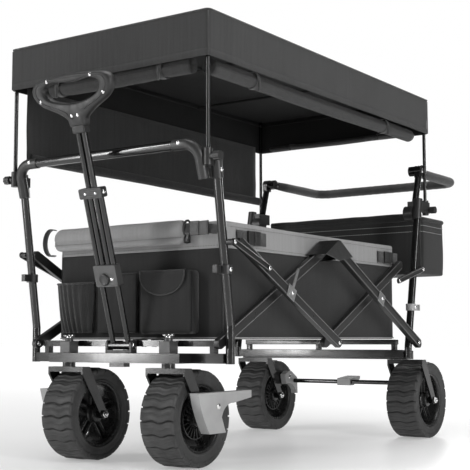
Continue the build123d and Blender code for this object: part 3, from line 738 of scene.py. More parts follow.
def make_basket():
    loop = rounded_loop((-BASKET_X + 1, BASKET_X - 1), (BASKET_Y[0] + 1, BASKET_Y[1] - 1), BASKET_CORNER, 15)
    floor = BASKET_Z[0] + 1.5

    def floor_point(x, y, share):
        return at(x, y, floor - 0.8 * share + 0.8 * abs(crease(x, y, 0, 90, 2.0)))

    rows = disc(loop, (0, sum(BASKET_Y) / 2), 12, 1 - 7 / BASKET_X, floor_point)
    for inset, rise in ((3.5, 0.4), (1.2, 2.2), (0.2, 6)):
        rows.append(ring(loop, BASKET_Z[0] + rise, -inset))
    count = 15
    for step in range(1, count + 1):
        rows.append(ring(loop, mix(BASKET_Z[0] + 8, BASKET_Z[1] + 2, step / count), basket_out))
    piece = skin("basket_cloth", rows, BASKET, flip=True)
    wear(piece, "front_frame", "basket_fabric", "basket")
    fold_with(piece)
    thicken(piece, 2.0)


def make_basket_trim():
    loop = rounded_loop((-BASKET_X + 1, BASKET_X - 1), (BASKET_Y[0] + 1, BASKET_Y[1] - 1), BASKET_CORNER, 20)
    piping = gather("basket_piping", [tube_part(ring(loop, BASKET_Z[0] + 3.5, 0.6), 1.9, 6, True)], BAND)
    parts = []
    for x in SIDES:
        for y, inward in ((BASKET_Y[0], 1), (BASKET_Y[1], -1)):
            heights = [mix(BASKET_Z[0] + 6, BASKET_Z[1], k / 8) for k in range(9)]
            path = [at(x * (BASKET_X - 8.2), y + inward * 7.6, z) for z in heights]
            parts.append(tube_part(path, 1.5, 6))
    seams = gather("basket_corner_seams", parts, EDGING)
    for trim, slot_name in ((piping, "band_fabric"), (seams, "basket_fabric")):
        wear(trim, "front_frame", slot_name)
        fold_with(trim)


def make_band():
    """The light band round the rim: outside, over a rolled top edge, and down inside."""
    loop = rounded_loop((-BASKET_X, BASKET_X), BASKET_Y, BASKET_CORNER, 15)
    low = BASKET_Z[1]
    section = [(0.4, low - 1), (1.2, low + 1), (0.8, low + 3)]
    section += [(0.6, mix(low + 8, RIM_Z - 9, k / 5)) for k in range(6)]
    section += [(0.8, RIM_Z - 5), (-0.4, RIM_Z - 1.5), (-3, RIM_Z), (-5.6, RIM_Z - 1.5), (-6.6, RIM_Z - 5)]
    section += [(-5, RIM_Z - 10), (-4.4, RIM_Z - 26), (-4.4, low + 2)]
    rows = []
    for out, z in section:
        row = []
        for x, y, nx, ny in loop:
            height = (z - low) / (RIM_Z - low)
            wave = basket_out(x, y, min(z, low + 20), nx, ny) * (1 - 0.5 * height)
            wave += 0.8 * crease(x, y, z * 0.4, 55, 6.0)
            dip = -2.2 * max(0.0, sin(pi * (y - BASKET_Y[0]) / (BASKET_Y[1] - BASKET_Y[0]))) * height
            row.append(at(x + nx * (out + wave), y + ny * (out + wave), z + dip))
        rows.append(row)
    piece = skin("basket_rim_band", rows, BAND, flip=True)
    wear(piece, "front_frame", "band_fabric", "basket_band")
    fold_with(piece)
    thicken(piece, 1.2)

    def seam_out(x, y, z, nx, ny):
        out = basket_out(x, y, min(z, low + 20), nx, ny) * (1 - 0.5 * (z - low) / (RIM_Z - low)) + 1.0
        return out + 0.8 * crease(x, y, z * 0.4, 55, 6.0)

    lines = []
    for z in (low + 5, RIM_Z - 11):
        path = ring(rounded_loop((-BASKET_X, BASKET_X), BASKET_Y, BASKET_CORNER, 20), z, seam_out)
        lines += stitches(path + path[:1], 0.35)
    seam = gather("basket_band_stitching", lines, EDGING)
    wear(seam, "front_frame", "band_fabric")
    fold_with(seam)


def make_flap():
    """The padded flap rolled over the front rim."""
    x, y, z = span("front_flap", 0), span("front_flap", 1), span("front_flap", 2)
    section = [
        (1.0, 0.97), (0.74, 1.03), (0.44, 1.0), (0.18, 0.88), (0.03, 0.7), (0.02, 0.52), (0.14, 0.38),
        (0.36, 0.31), (0.24, 0.25), (0.17, 0.12), (0.22, 0.01), (0.55, 0.0), (0.96, 0.02), (0.99, 0.5),
    ]
    centre = (0.62, 0.55)
    rows = []
    count = 44
    for k in range(count + 1):
        share = k / count
        end = min(share, 1 - share) * (x[1] - x[0])
        grow = min(1.0, 0.45 + 0.55 * sin(pi / 2 * min(1.0, end / 16)))
        px = mix(x[0], x[1], share)
        row = []
        for a, b in section:
            pa = centre[0] + (a - centre[0]) * grow
            pb = centre[1] + (b - centre[1]) * grow
            lump = 1.2 * crease(px, a * 60, b * 60, 48, 2.0)
            row.append(at(px, mix(y[0], y[1], pa) - lump * (1 - a), mix(z[0], z[1], pb) + lump * 0.4))
        rows.append(row)
    piece = skin("front_rim_flap", rows, BAND)
    width, total = len(section), len(piece.data.vertices)
    mend(piece, [range(width), range(total - 1, total - 1 - width, -1)])
    subdivide(piece)
    wear(piece, "front_frame", "band_fabric", "front_flap")
    rim = []
    for a, b in section:
        pa = centre[0] + (a - centre[0]) * 0.9
        pb = centre[1] + (b - centre[1]) * 0.9
        rim.append(at(x[1] - 3, mix(y[0], y[1], pa), mix(z[0], z[1], pb)))
    binding = gather("front_flap_binding", [tube_part(rim, 2.4, 8, True)], PLASTIC)
    wear(binding, "front_frame", "webbing")
    hem = [at(mix(x[0] + 8, x[1] - 8, k / 20), y[0] + 1.6, z[0] + 13.5) for k in range(21)]
    wear(gather("front_flap_stitching", stitches(hem, 0.4), EDGING), "front_frame", "band_fabric")
    # A loop of webbing at the flap's left end, and the strap with its buckle at its right end.
    loop = []
    for k in range(15):
        turn = radians(mix(70, 290, k / 14))
        loop.append(at(x[0] - 6 + 22 * cos(turn), y[0] + 9, mix(z[0], z[1], 0.42) + 31 * sin(turn)))
    strap("front_flap_loop", loop, BACK, 15, 1.8, WEBBING, "front_frame")
    pull = [at(x[1] - 2 + 9 * k, y[0] + 5 + 0.6 * k, 494 - 0.5 * k + 1.4 * sin(k * 1.3)) for k in range(10)]
    strap("front_flap_strap", pull, Vector((0, 0.25, 1)), 21, 1.9, WEBBING, "front_frame")
    buckle(at(x[1] + 38, y[0] + 4, 493), Vector((1, 0.04, 0)), Vector((0, -1, 0)), "front_flap_buckle",
           "front_frame")


def buckle(centre, ahead, out, name, body, foldable=False):
    """A side-release buckle: a socket with two side windows, a plug, its prongs and a ladder bar."""
    ahead = ahead.normalized()
    out = out.normalized()
    up = ahead.cross(out).normalized()
    axes = (ahead, up, out)
    boxes = [
        ((-11, 0, 0), (20, 30, 7)),
        ((-11, 0, 3.2), (14, 18, 2)),
        ((2, 0, -0.4), (7, 20, 4.4)),
        ((2, 12, -0.2), (9, 4.6, 5)),
        ((2, -12, -0.2), (9, 4.6, 5)),
        ((12, 0, -0.2), (14, 29, 6)),
        ((20, 0, 0.6), (3.4, 30, 5)),
        ((-22, 0, 0.4), (3.4, 30, 5)),
    ]
    parts = []
    for place, size in boxes:
        middle = centre + sum((axis * part * MM for axis, part in zip(axes, place)), Vector())
        parts.append(box_part(middle, axes, size))
    piece = gather(name, parts, PLASTIC)
    piece.data.shade_flat()
    wear(piece, body, "black_plastic")
    if foldable:
        fold_with(piece)
    return bevel(piece, 0.9, 2)


def make_side_straps():
    """The band's straps: a webbing patch with a stitched box, and a buckle."""
    low, high = span("basket_straps", 1)
    face = BASKET_X + 3.2
    first = True
    for side in SIDES:
        name = "left" if side < 0 else "right"
        for place, start, z, way in (("front", low, 477, -1), ("rear", high - 118, 474, 1)):
            label = f"{place}_{name}"
            run = [at(side * (face + 0.5 * sin(k)), start + 3 + 112 * k / 12, z) for k in range(13)]
            patch = strap(f"band_strap_{label}", run, UP, 29, 1.8, WEBBING, "front_frame")
            if first:
                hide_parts("basket_straps")
                first = False
            fold_with(patch)
            middle = start + 59 - way * 2
            buckle(at(side * (face + 3.8), middle, z), Vector((0, way, 0)), Vector((side, 0, 0)),
                   f"band_buckle_{label}", "front_frame", True)
            near, far = start + 6, start + 24
            box = [(near, z - 12), (near, z + 12), (far, z + 12), (far, z - 12), (near, z - 12)]
            seam = [at(side * (face + 1.6), y, height) for y, height in box]
            sewn = gather(f"band_strap_stitching_{label}", stitches(seam, 0.4), EDGING)
            wear(sewn, "front_frame", "webbing")
            fold_with(sewn)


# ---------------------------------------------------------------- pockets
BOTTLE_POCKET_X = -219.0, -116.0
FLAT_POCKET_X = -105.0, 8.0
FLAP_POCKET_X = 33.0, 170.0


def pocket_shell(name, x, z, back, front, corner, look, seed, crown=1.5):
    """A sewn pocket: a soft front in the middle of sides that turn back to the basket."""
    loop = rounded_loop(x, z, corner, 9)
    centre = sum(x) / 2, sum(z) / 2

    def face_point(a, b, share):
        return at(a, front - (crown * (1 - share**2) + 1.1 * crease(a, b, 0, 42, seed)), b)

    rows = disc(loop, centre, 8, 0.93, face_point)
    for turn in (25, 50, 75, 90):
        inset = 0.07 * (1 - sin(radians(turn)))
        back_off = 5 * (1 - cos(radians(turn)))
        spots = [(mix(a, centre[0], inset), mix(b, centre[1], inset)) for a, b, _, _ in loop]
        rows.append([at(a, front + back_off, b) for a, b in spots])
    rows.append([at(a, back + 0.4, b) for a, b, _, _ in loop])
    piece = skin(name, rows, look)
    mend(piece, [range(len(loop))])
    wear(piece, "front_frame", "basket_fabric")
    thicken(piece, 1.2)
    return piece


def make_pockets():
    back = span("basket", 1)[0] - 0.6
    front = span("front_pockets", 1)[0]
    flap_front = back - 27
    pocket_shell("flap_pocket", FLAP_POCKET_X, (274, 407), back, flap_front, 9, BASKET, 3.0)
    pocket_shell("flat_pocket", FLAT_POCKET_X, (277, 408), back, back - 9, 6, BASKET, 6.0, 1.0)
    # The half-round flap with its bound edge.
    left, right, top, low = FLAP_POCKET_X[0] + 3, FLAP_POCKET_X[1] - 14, 407.0, 356.0
    rows = []
    for step in range(9):
        depth = step / 8
        row = []
        for k in range(25):
            turn = pi * k / 24
            a = mix(left, right, 0.5 - 0.5 * cos(turn))
            b = top - (top - low) * sin(turn) ** 0.8 * depth
            over = 5 * max(0.0, 1 - depth * 5) ** 2
            py = flap_front - 2.6 - 1.2 * depth + over + 0.5 * crease(a, b, 0, 30, 2.0)
            row.append(at(a, py, b + (1 - depth)))
        rows.append(row)
    flap = skin("flap_pocket_flap", rows, BASKET, closed=False, flip=True)
    wear(flap, "front_frame", "basket_fabric", "front_pockets")
    edge = [point + Vector((0, -0.6 * MM, 0)) for point in rows[-1]]
    binding = gather("flap_pocket_binding", [tube_part(edge, 1.5, 6)], EDGING)
    wear(binding, "front_frame", "basket_fabric")
    thicken(flap, 1.4)
    # The open bottle pocket: a gathered net with an elastic top.
    x, low, high = BOTTLE_POCKET_X, 277.0, 389.0
    rows = []
    for step in range(15):
        height = step / 14
        depth = mix(17, back - front - 2, height**0.7)
        row = []
        for k in range(41):
            share = k / 40
            bow = sin(pi * share) ** 0.45 if 0 < share < 1 else 0.0
            gathers = 2.6 * (1 - 0.55 * height) * sin(share * 2 * pi * 7.5 + 0.6 * sin(height * 3)) * bow
            inset = 7 * (1 - height) ** 2
            row.append(at(mix(x[0] + inset, x[1] - inset, share), back - 0.5 - bow * depth - gathers,
                          mix(low, high, height) - 3 * bow * height))
        rows.append(row)
    net = skin("bottle_pocket", rows, NET, closed=False, flip=True)
    wear(net, "front_frame", "basket_fabric")
    thicken(net, 1.0, offset=0)
    wear(gather("bottle_pocket_elastic", [tube_part(rows[-1], 2.4, 8)], EDGING), "front_frame", "webbing")
    seams = []
    for edge_x in FLAP_POCKET_X:
        seams.append(tube_part([at(edge_x, flap_front + 2.2, z) for z in (280, 320, 360, 402)], 1.2, 6))
    for edge_x in FLAT_POCKET_X:
        seams.append(tube_part([at(edge_x, back - 8, z) for z in (281, 320, 360, 404)], 1.2, 6))
    threads = (FLAT_POCKET_X, 5, back - 10.4, 403), (FLAP_POCKET_X, 8, flap_front - 1.8, 280)
    for (left, right), inset, y, z in threads:
        seams += stitches([at(left + inset, y, z), at(right - inset, y, z)], 0.4)
    wear(gather("pocket_seams", seams, LINING), "front_frame", "basket_fabric")


# ---------------------------------------------------------------- rear bag
def make_rear_bag():
    x, y, z = span("rear_bag", 0), span("rear_bag", 1), span("rear_bag", 2)
    loop = rounded_loop((x[0] + 2, x[1] - 2), (y[0] + 1, y[1] - 2), 14, 14)

    def sag(px, py, pz, nx, ny):
        height = (pz - z[0]) / (z[1] - z[0])
        belly = 2.2 * sin(pi * min(1, height)) * (ny > -0.5)
        return belly + 1.8 * crease(px + pz, py, pz * 0.5, 70, 4.0) * height

    rows = disc(loop, (0, sum(y) / 2), 6, 0.965, lambda a, b, _: at(a, b, z[0] + 1.5))
    for inset, rise in ((2.6, 2.0), (0.6, 5.0)):
        rows.append(ring(loop, z[0] + rise, -inset))
    for step in range(1, 12):
        rows.append(ring(loop, mix(z[0] + 8, z[1] - 6, step / 11), sag))
    piece = skin("rear_bag_cloth", rows, BASKET, flip=True)
    wear(piece, "rear_frame", "basket_fabric", "rear_bag")
    thicken(piece, 1.6, LINING)
    hem = gather("rear_bag_hem", [tube_part(ring(loop, z[1] - 6, -1.5), 6.5, 12, True)], BASKET)
    bar = [at(mix(x[0] + 8, x[1] - 8, k / 12), y[0] + 4, z[1] + 3 + 0.6 * sin(k * 2.1)) for k in range(13)]
    sleeve = gather("rear_bag_sleeve", [tube_part(bar, 8.0, 14)], BASKET)
    lines = []
    for drop in (24, 41):
        path = ring(loop, z[1] - drop, lambda *place: sag(*place) + 0.5)
        lines += stitches(path + path[:1], 0.55, 4.4, 1.0)
    sewn = gather("rear_bag_stitching", lines, THREAD)
    corners = []
    for a in (x[0] + 6.2, x[1] - 6.2):
        for b in (y[0] + 5.2, y[1] - 6.2):
            corners.append(tube_part([at(a, b, pz) for pz in (z[0] + 6, mix(*z, 0.5), z[1] - 12)], 1.4, 6))
    seams = gather("rear_bag_seams", corners, EDGING)
    for trim in (hem, sleeve, sewn, seams):
        wear(trim, "rear_frame", "basket_fabric")


# ---------------------------------------------------------------- wheels
TYRE_RADIUS = (span("tyre_front_left", 2)[1] - span("tyre_front_left", 2)[0]) / 2
TYRE_HALF = (span("tyre_front_left", 0)[1] - span("tyre_front_left", 0)[0]) / 2
BEAD_RADIUS = 70.0
PITCHES = 22
# One pitch of the tread: (millimetres along, share of the depth), where a groove is 1 and a rib is below 0.
BLOCK = (
    (0, 0), (0.5, 0.9), (1.3, 1), (2.5, 1), (3.3, 0.9), (3.8, 0), (9.5, 0), (14.4, 0), (14.9, -0.26),
    (15.8, -0.26), (16.3, 0), (21.5, 0), (25.5, 0),
)
TREAD_DEPTH = 5.2


def tyre_profile():
    """(across, radius, groove share) from bead to bead."""
    half, top = TYRE_HALF, TYRE_RADIUS
    low = BEAD_RADIUS
    side = [
        (half - 7, low - 0.5, 0), (half - 3.5, low + 0.3, 0), (half - 1.6, low + 2.2, 0),
        (half - 1.2, low + 4.0, 0), (half - 2.4, low + 5.0, 0), (half - 1.6, low + 8, 0),
        (half - 1.0, top - 14.5, 0),
        (half - 1.2, top - 10.4, 0), (half - 0.3, top - 9.4, 0.6), (half - 0.2, top - 5.0, 1.0),
        (half - 0.8, top - 1.9, 1.0), (half - 2.2, top - 0.8, 1.0), (half - 6.5, top - 0.4, 1.0),
    ]
    tread = [(mix(half - 11, 11 - half, k / 16), 0, 1.0) for k in range(17)]
    tread = [(w, top - 0.4 * (w / half) ** 2, g) for w, _, g in tread]
    return side + tread + [(-w, r, g) for w, r, g in reversed(side)]


def make_tyre(name, centre, body):
    """A wide block tyre: wavy grooves across the tread that break its shoulders, with fine ribs."""
    profile = tyre_profile()
    circumference = 2 * pi * TYRE_RADIUS
    rows = []
    for pitch in range(PITCHES):
        for offset, depth in BLOCK:
            row = []
            for w, r, groove in profile:
                wave = 2.1 * sin(w / TYRE_HALF * pi * 2.0) * groove + 1.2 * cos(w / TYRE_HALF * pi * 1.0)
                angle = 2 * pi * (pitch / PITCHES + (offset + wave) / circumference)
                deep = depth if depth > 0 else depth * (abs(w) < TYRE_HALF - 6)
                reach = r - TREAD_DEPTH * deep * groove
                row.append(centre + Vector((w, reach * cos(angle), reach * sin(angle))) * MM)
            rows.append(row)
    rows.append(rows[0])
    piece = skin(name, rows, RUBBER, closed=False)
    mend(piece, merge=1e-6)
    return wear(thicken(piece, 3.0), body, "tyre_rubber", name.replace("_tread", ""))


def wheel_ways(angle):
    """The direction out from a wheel's hub at an angle, and the one square to it."""
    return Vector((0, cos(angle), sin(angle))), Vector((0, -sin(angle), cos(angle)))


def spoke_part(centre, angle, shift, inner, outer, width, depth, reach):
    """One bar of a spoke, running out from the hub."""
    way, side = wheel_ways(angle)
    middle = centre + (way * (inner + outer) / 2 + side * shift + Vector((reach, 0, 0))) * MM
    return box_part(middle, (way, side, RIGHT), (outer - inner, width, depth))


def make_rim(name, centre, body, brake_side):
    half = TYRE_HALF - 5
    barrel = [
        (-half, 66), (-half - 1.2, 69), (-half + 1, 70), (-half + 6, 69), (half - 6, 69), (half - 1, 70),
        (half + 1.2, 69), (half, 66), (half - 3, 64.5), (half - 9, 63.8), (half - 10, 65.4), (0, 66.2),
        (-half + 10, 65.4), (-half + 9, 63.8), (-half + 3, 64.5), (-half, 66),
    ]
    points, faces = turned_part(centre, RIGHT, barrel, 64)
    parts = [(points, faces[:-2])]
    hub_end = [(-34, 8.5), (-34, 15), (-32.5, 17.5), (-24, 18), (-20, 21.5)]
    hub = hub_end + [(-reach, radius) for reach, radius in reversed(hub_end)]
    parts.append(turned_part(centre, RIGHT, hub, 40))
    parts.append(turned_part(centre, RIGHT, [(-8, 20), (-8, 30), (8, 30), (8, 20)], 40))
    for index in range(5):
        angle = 2 * pi * index / 5 + 0.3
        for shift in (-8, 8):
            parts.append(spoke_part(centre, angle, shift, 17, 66.0, 7.5, 26, -brake_side * 3))
            parts.append(spoke_part(centre, angle, shift, 18, 65.8, 3.4, 32, -brake_side * 3))
    brake = []
    for index in range(22):
        angle = 2 * pi * index / 22
        way, side = wheel_ways(angle)
        middle = centre + (way * 31 + Vector((brake_side * 20, 0, 0))) * MM
        brake.append(box_part(middle, (way, side, RIGHT), (22, 2.2, 12)))
    section = (13, 41), (13, 43.5), (26, 43.5), (26, 41), (13, 41)
    drum = [(brake_side * reach, radius) for reach, radius in section]
    points, faces = turned_part(centre, RIGHT, drum, 48)
    brake.append((points, faces[:-2]))
    piece = gather(name, parts + brake, RIM)
    mend(piece)
    wear(piece, body, "rim_plastic", name.replace("_wheel", ""))
    return bevel(piece, 0.7, 2, 40)


def make_wheels():
    for place in ("front_left", "front_right", "rear_left", "rear_right"):
        node = f"tyre_{place}"
        centre = at(*[midway(node, axis) for axis in range(3)])
        body = f"wheel_{place}"
        outer = -1 if place.endswith("left") else 1
        brake_side = outer if place.startswith("front") else -outer
        make_tyre(f"tyre_tread_{place}", centre, body)
        make_rim(f"rim_wheel_{place}", centre, body, brake_side)


# ---------------------------------------------------------------- CAD parts with softened edges
def soften(node, width, look, segments=2):
    """A copy of a CAD part with its sharp edges eased, in its own material."""
    original = NODES[node]
    copy = bmesh.new()
    copy.from_mesh(original.data)
    bmesh.ops.remove_doubles(copy, verts=copy.verts, dist=1e-6)
    bmesh.ops.dissolve_limit(copy, angle_limit=radians(1.5), verts=copy.verts, edges=copy.edges)
    mesh = bpy.data.meshes.new(node + "_body")
    copy.to_mesh(mesh)
    copy.free()
    mesh.shade_smooth()
    mesh.materials.append(look)
    piece = bpy.data.objects.new(node + "_body", mesh)
    bpy.context.scene.collection.objects.link(piece)
    body = original["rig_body"]
    slots = {part["node"]: part["material_slot"] for part in frame["record"]["subparts"]}
    wear(piece, body, slots[node], node)
    bevel(piece, width, segments, 32)
    flat = piece.modifiers.new("normals", "WEIGHTED_NORMAL")
    flat.keep_sharp = True
    return piece


SOFTENED = (
    ("centre_caps", 2.2, PLASTIC), ("brake_pedal_left", 1.6, GREY), ("brake_pedal_right", 1.6, GREY),
    ("rear_brake_levers", 1.2, GREY), ("rear_hooks", 1.0, GREY), ("front_hooks", 0.8, PLASTIC),
    ("handle_clamp", 1.4, PLASTIC), ("handle_pivot_bracket", 0.8, PLASTIC),
    ("handle_slider", 1.6, CLAMP_GREY), ("caster_bar", 1.2, TUBE),
    ("stem_housings", 1.5, CLAMP_GREY), ("front_rails", 1.4, TUBE), ("rear_rails", 1.4, TUBE),
    ("front_knob_left", 1.0, PLASTIC), ("front_knob_right", 1.0, PLASTIC), ("rear_knob_left", 1.0, PLASTIC),
    ("rear_knob_right", 1.0, PLASTIC), ("front_crossing_brackets", 0.5, ZINC),
    ("rear_crossing_brackets", 0.5, ZINC), ("caster_fork_left", 0.8, TUBE), ("caster_fork_right", 0.8, TUBE),
    ("rear_forks", 0.8, TUBE),
)
BARS = (
    "front_lower_bars", "rear_lower_bars", "front_upper_bars", "rear_upper_bars", "front_links", "rear_links",
)


def make_bar_painted_highlights():
    """Thin cords along the edges of the scissor bars' and links' outer faces, coloured light grey as a
    painted highlight where the edges catch the light.
    """
    for node, fall in (("front_lower_bars", 1), ("rear_lower_bars", -1), ("front_upper_bars", -1),
                       ("rear_upper_bars", 1), ("front_links", -1), ("rear_links", 1)):
        y, z, half = span(node, 1), span(node, 2), 7.0 if "links" in node else 11.0
        if fall < 0:
            z = z[::-1]
        inset = half if fall > 0 else -half
        low, high = (y[0] + half, z[0] + inset), (y[1] - half, z[1] - inset)
        run = hypot(high[0] - low[0], high[1] - low[1])
        normal = (low[1] - high[1]) / run, (high[0] - low[0]) / run
        face = span(node, 0)[1]
        parts = []
        for side in SIDES:
            for way in SIDES:
                offset = way * (half - 1.6)
                path = []
                for k in range(9):
                    py, pz = [mix(a, b, k / 8) + n * offset for a, b, n in zip(low, high, normal)]
                    path.append(at(side * (face - 0.25), py, pz))
                parts.append(tube_part(path, 0.95, 8))
        wear(gather(node + "_painted_highlights", parts, BAR_EDGE_HIGHLIGHT), NODES[node]["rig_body"], "frame_tube")


def dress_cad():
    """A procedural material for every CAD part that stays, and eased edges where they show."""
    looks = {
        "frame_tube": TUBE, "black_plastic": PLASTIC, "grey_plastic": GREY, "zinc_steel": ZINC, "foam": FOAM,
        "tyre_rubber": RUBBER, "rim_plastic": RIM, "basket_fabric": BASKET, "roof_fabric": ROOF,
        "band_fabric": BAND, "webbing": WEBBING,
    }
    for part in frame["record"]["subparts"]:
        mesh = NODES[part["node"]].data
        mesh.materials.clear()
        mesh.materials.append(looks[part["material_slot"]])
    for node, width, look in SOFTENED:
        soften(node, width, look)
    for node in BARS:
        soften(node, 1.6, BAR, 3)
    make_bar_painted_highlights()


# ---------------------------------------------------------------- handle grip
HANDLE_PIVOT = Vector(JOINTS["handle_tilt"]["pos_m"])
HANDLE_UP = Vector(JOINTS["handle_extend"]["axis"]).normalized()
HANDLE_OUT = RIGHT.cross(HANDLE_UP)
HANDLE_AXES = RIGHT, HANDLE_UP, HANDLE_OUT
SLIDER_REACH = 147
CLAMP_REACH = 331


def on_handle(x, reach, out=0.0):
    """A point in the handle's own plane, or in front of it."""
    return HANDLE_PIVOT + (Vector((x, 0, 0)) + HANDLE_UP * reach + HANDLE_OUT * out) * MM


def through(points, steps):
    """A smooth closed curve through (x, y) points."""
    found = []
    count = len(points)
    for k in range(count):
        p = [Vector(points[(k + shift) % count]) for shift in (-1, 0, 1, 2)]
        for step in range(steps):
            t = step / steps
            curve = p[1] * 2 + (p[2] - p[0]) * t + (p[0] * 2 - p[1] * 5 + p[2] * 4 - p[3]) * t**2
            found.append((curve + (p[1] * 3 - p[0] - p[2] * 3 + p[3]) * t**3) / 2)
    return found


def reach_at(outline, centre, angle):
    """Where a ray from the centre meets an outline."""
    way = Vector((cos(angle), sin(angle)))
    best = 0.0
    for a, b in zip(outline, outline[1:] + outline[:1]):
        edge = b - a
        crossing = way.x * edge.y - way.y * edge.x
        if abs(crossing) < 1e-9:
            continue
        start = a - centre
        distance = (start.x * edge.y - start.y * edge.x) / crossing
        share = (start.x * way.y - start.y * way.x) / crossing
        if -1e-6 <= share <= 1 + 1e-6:
            best = max(best, distance)
    return best


def make_grip():
    foot = 471.0
    half = [(20, foot), (24, 486), (48, 503), (92, 525), (110, 551), (98, 571), (60, 577)]
    outer = [(0, foot)] + half + [(0, 581)] + [(-x, y) for x, y in reversed(half)]
    inner_half = [(0, 522), (36, 525), (66, 536), (74, 558), (45, 567)]
    inner = inner_half + [(0, 563)] + [(-x, y) for x, y in reversed(inner_half[1:])]
    outer_line, inner_line = through(outer, 8), through(inner, 8)
    centre = Vector((0, 545))
    depth = 12.3
    rows = []
    count = 120
    for k in range(count):
        angle = 2 * pi * k / count - pi / 2
        far, near = reach_at(outer_line, centre, angle), reach_at(inner_line, centre, angle)
        way = Vector((cos(angle), sin(angle)))
        middle, arm = (far + near) / 2, (far - near) / 2
        row = []
        for j in range(16):
            turn = 2 * pi * j / 16
            a = abs(cos(turn)) ** 0.62 * (1 if cos(turn) > 0 else -1)
            b = abs(sin(turn)) ** 0.62 * (1 if sin(turn) > 0 else -1)
            flat = centre + way * (middle + arm * a)
            row.append(on_handle(flat.x, flat.y, depth * b))
        rows.append(row)
    rows.append(rows[0])
    piece = skin("pull_grip", rows, GRIP_PLASTIC)
    mend(piece, merge=1e-7)
    wear(piece, "handle_upper", "black_plastic", "handle_grip")
    # A moulded ridge follows the loop on both faces.
    ridges = []
    for face in SIDES:
        path = []
        for k in range(0, count, 2):
            angle = 2 * pi * k / count - pi / 2
            if abs(degrees(angle) + 90) < 32:
                continue
            far, near = reach_at(outer_line, centre, angle), reach_at(inner_line, centre, angle)
            flat = centre + Vector((cos(angle), sin(angle))) * mix(near, far, 0.62)
            path.append(on_handle(flat.x, flat.y, face * (depth - 0.7)))
        ridges.append(tube_part(path, 1.8, 8))
    wear(gather("pull_grip_ridge", ridges, GRIP_PLASTIC), "handle_upper", "black_plastic")
    foot_part = box_part(on_handle(0, foot - 5), HANDLE_AXES, (34, 17, 19))
    wear(bevel(gather("pull_grip_collar", [foot_part], GRIP_PLASTIC), 3, 3), "handle_upper", "black_plastic")


# ---------------------------------------------------------------- rivets, bolts and nuts
OUTER_FACE = span("front_upper_bars", 0)[1]
CASTER_X = midway("tyre_front_right", 0)


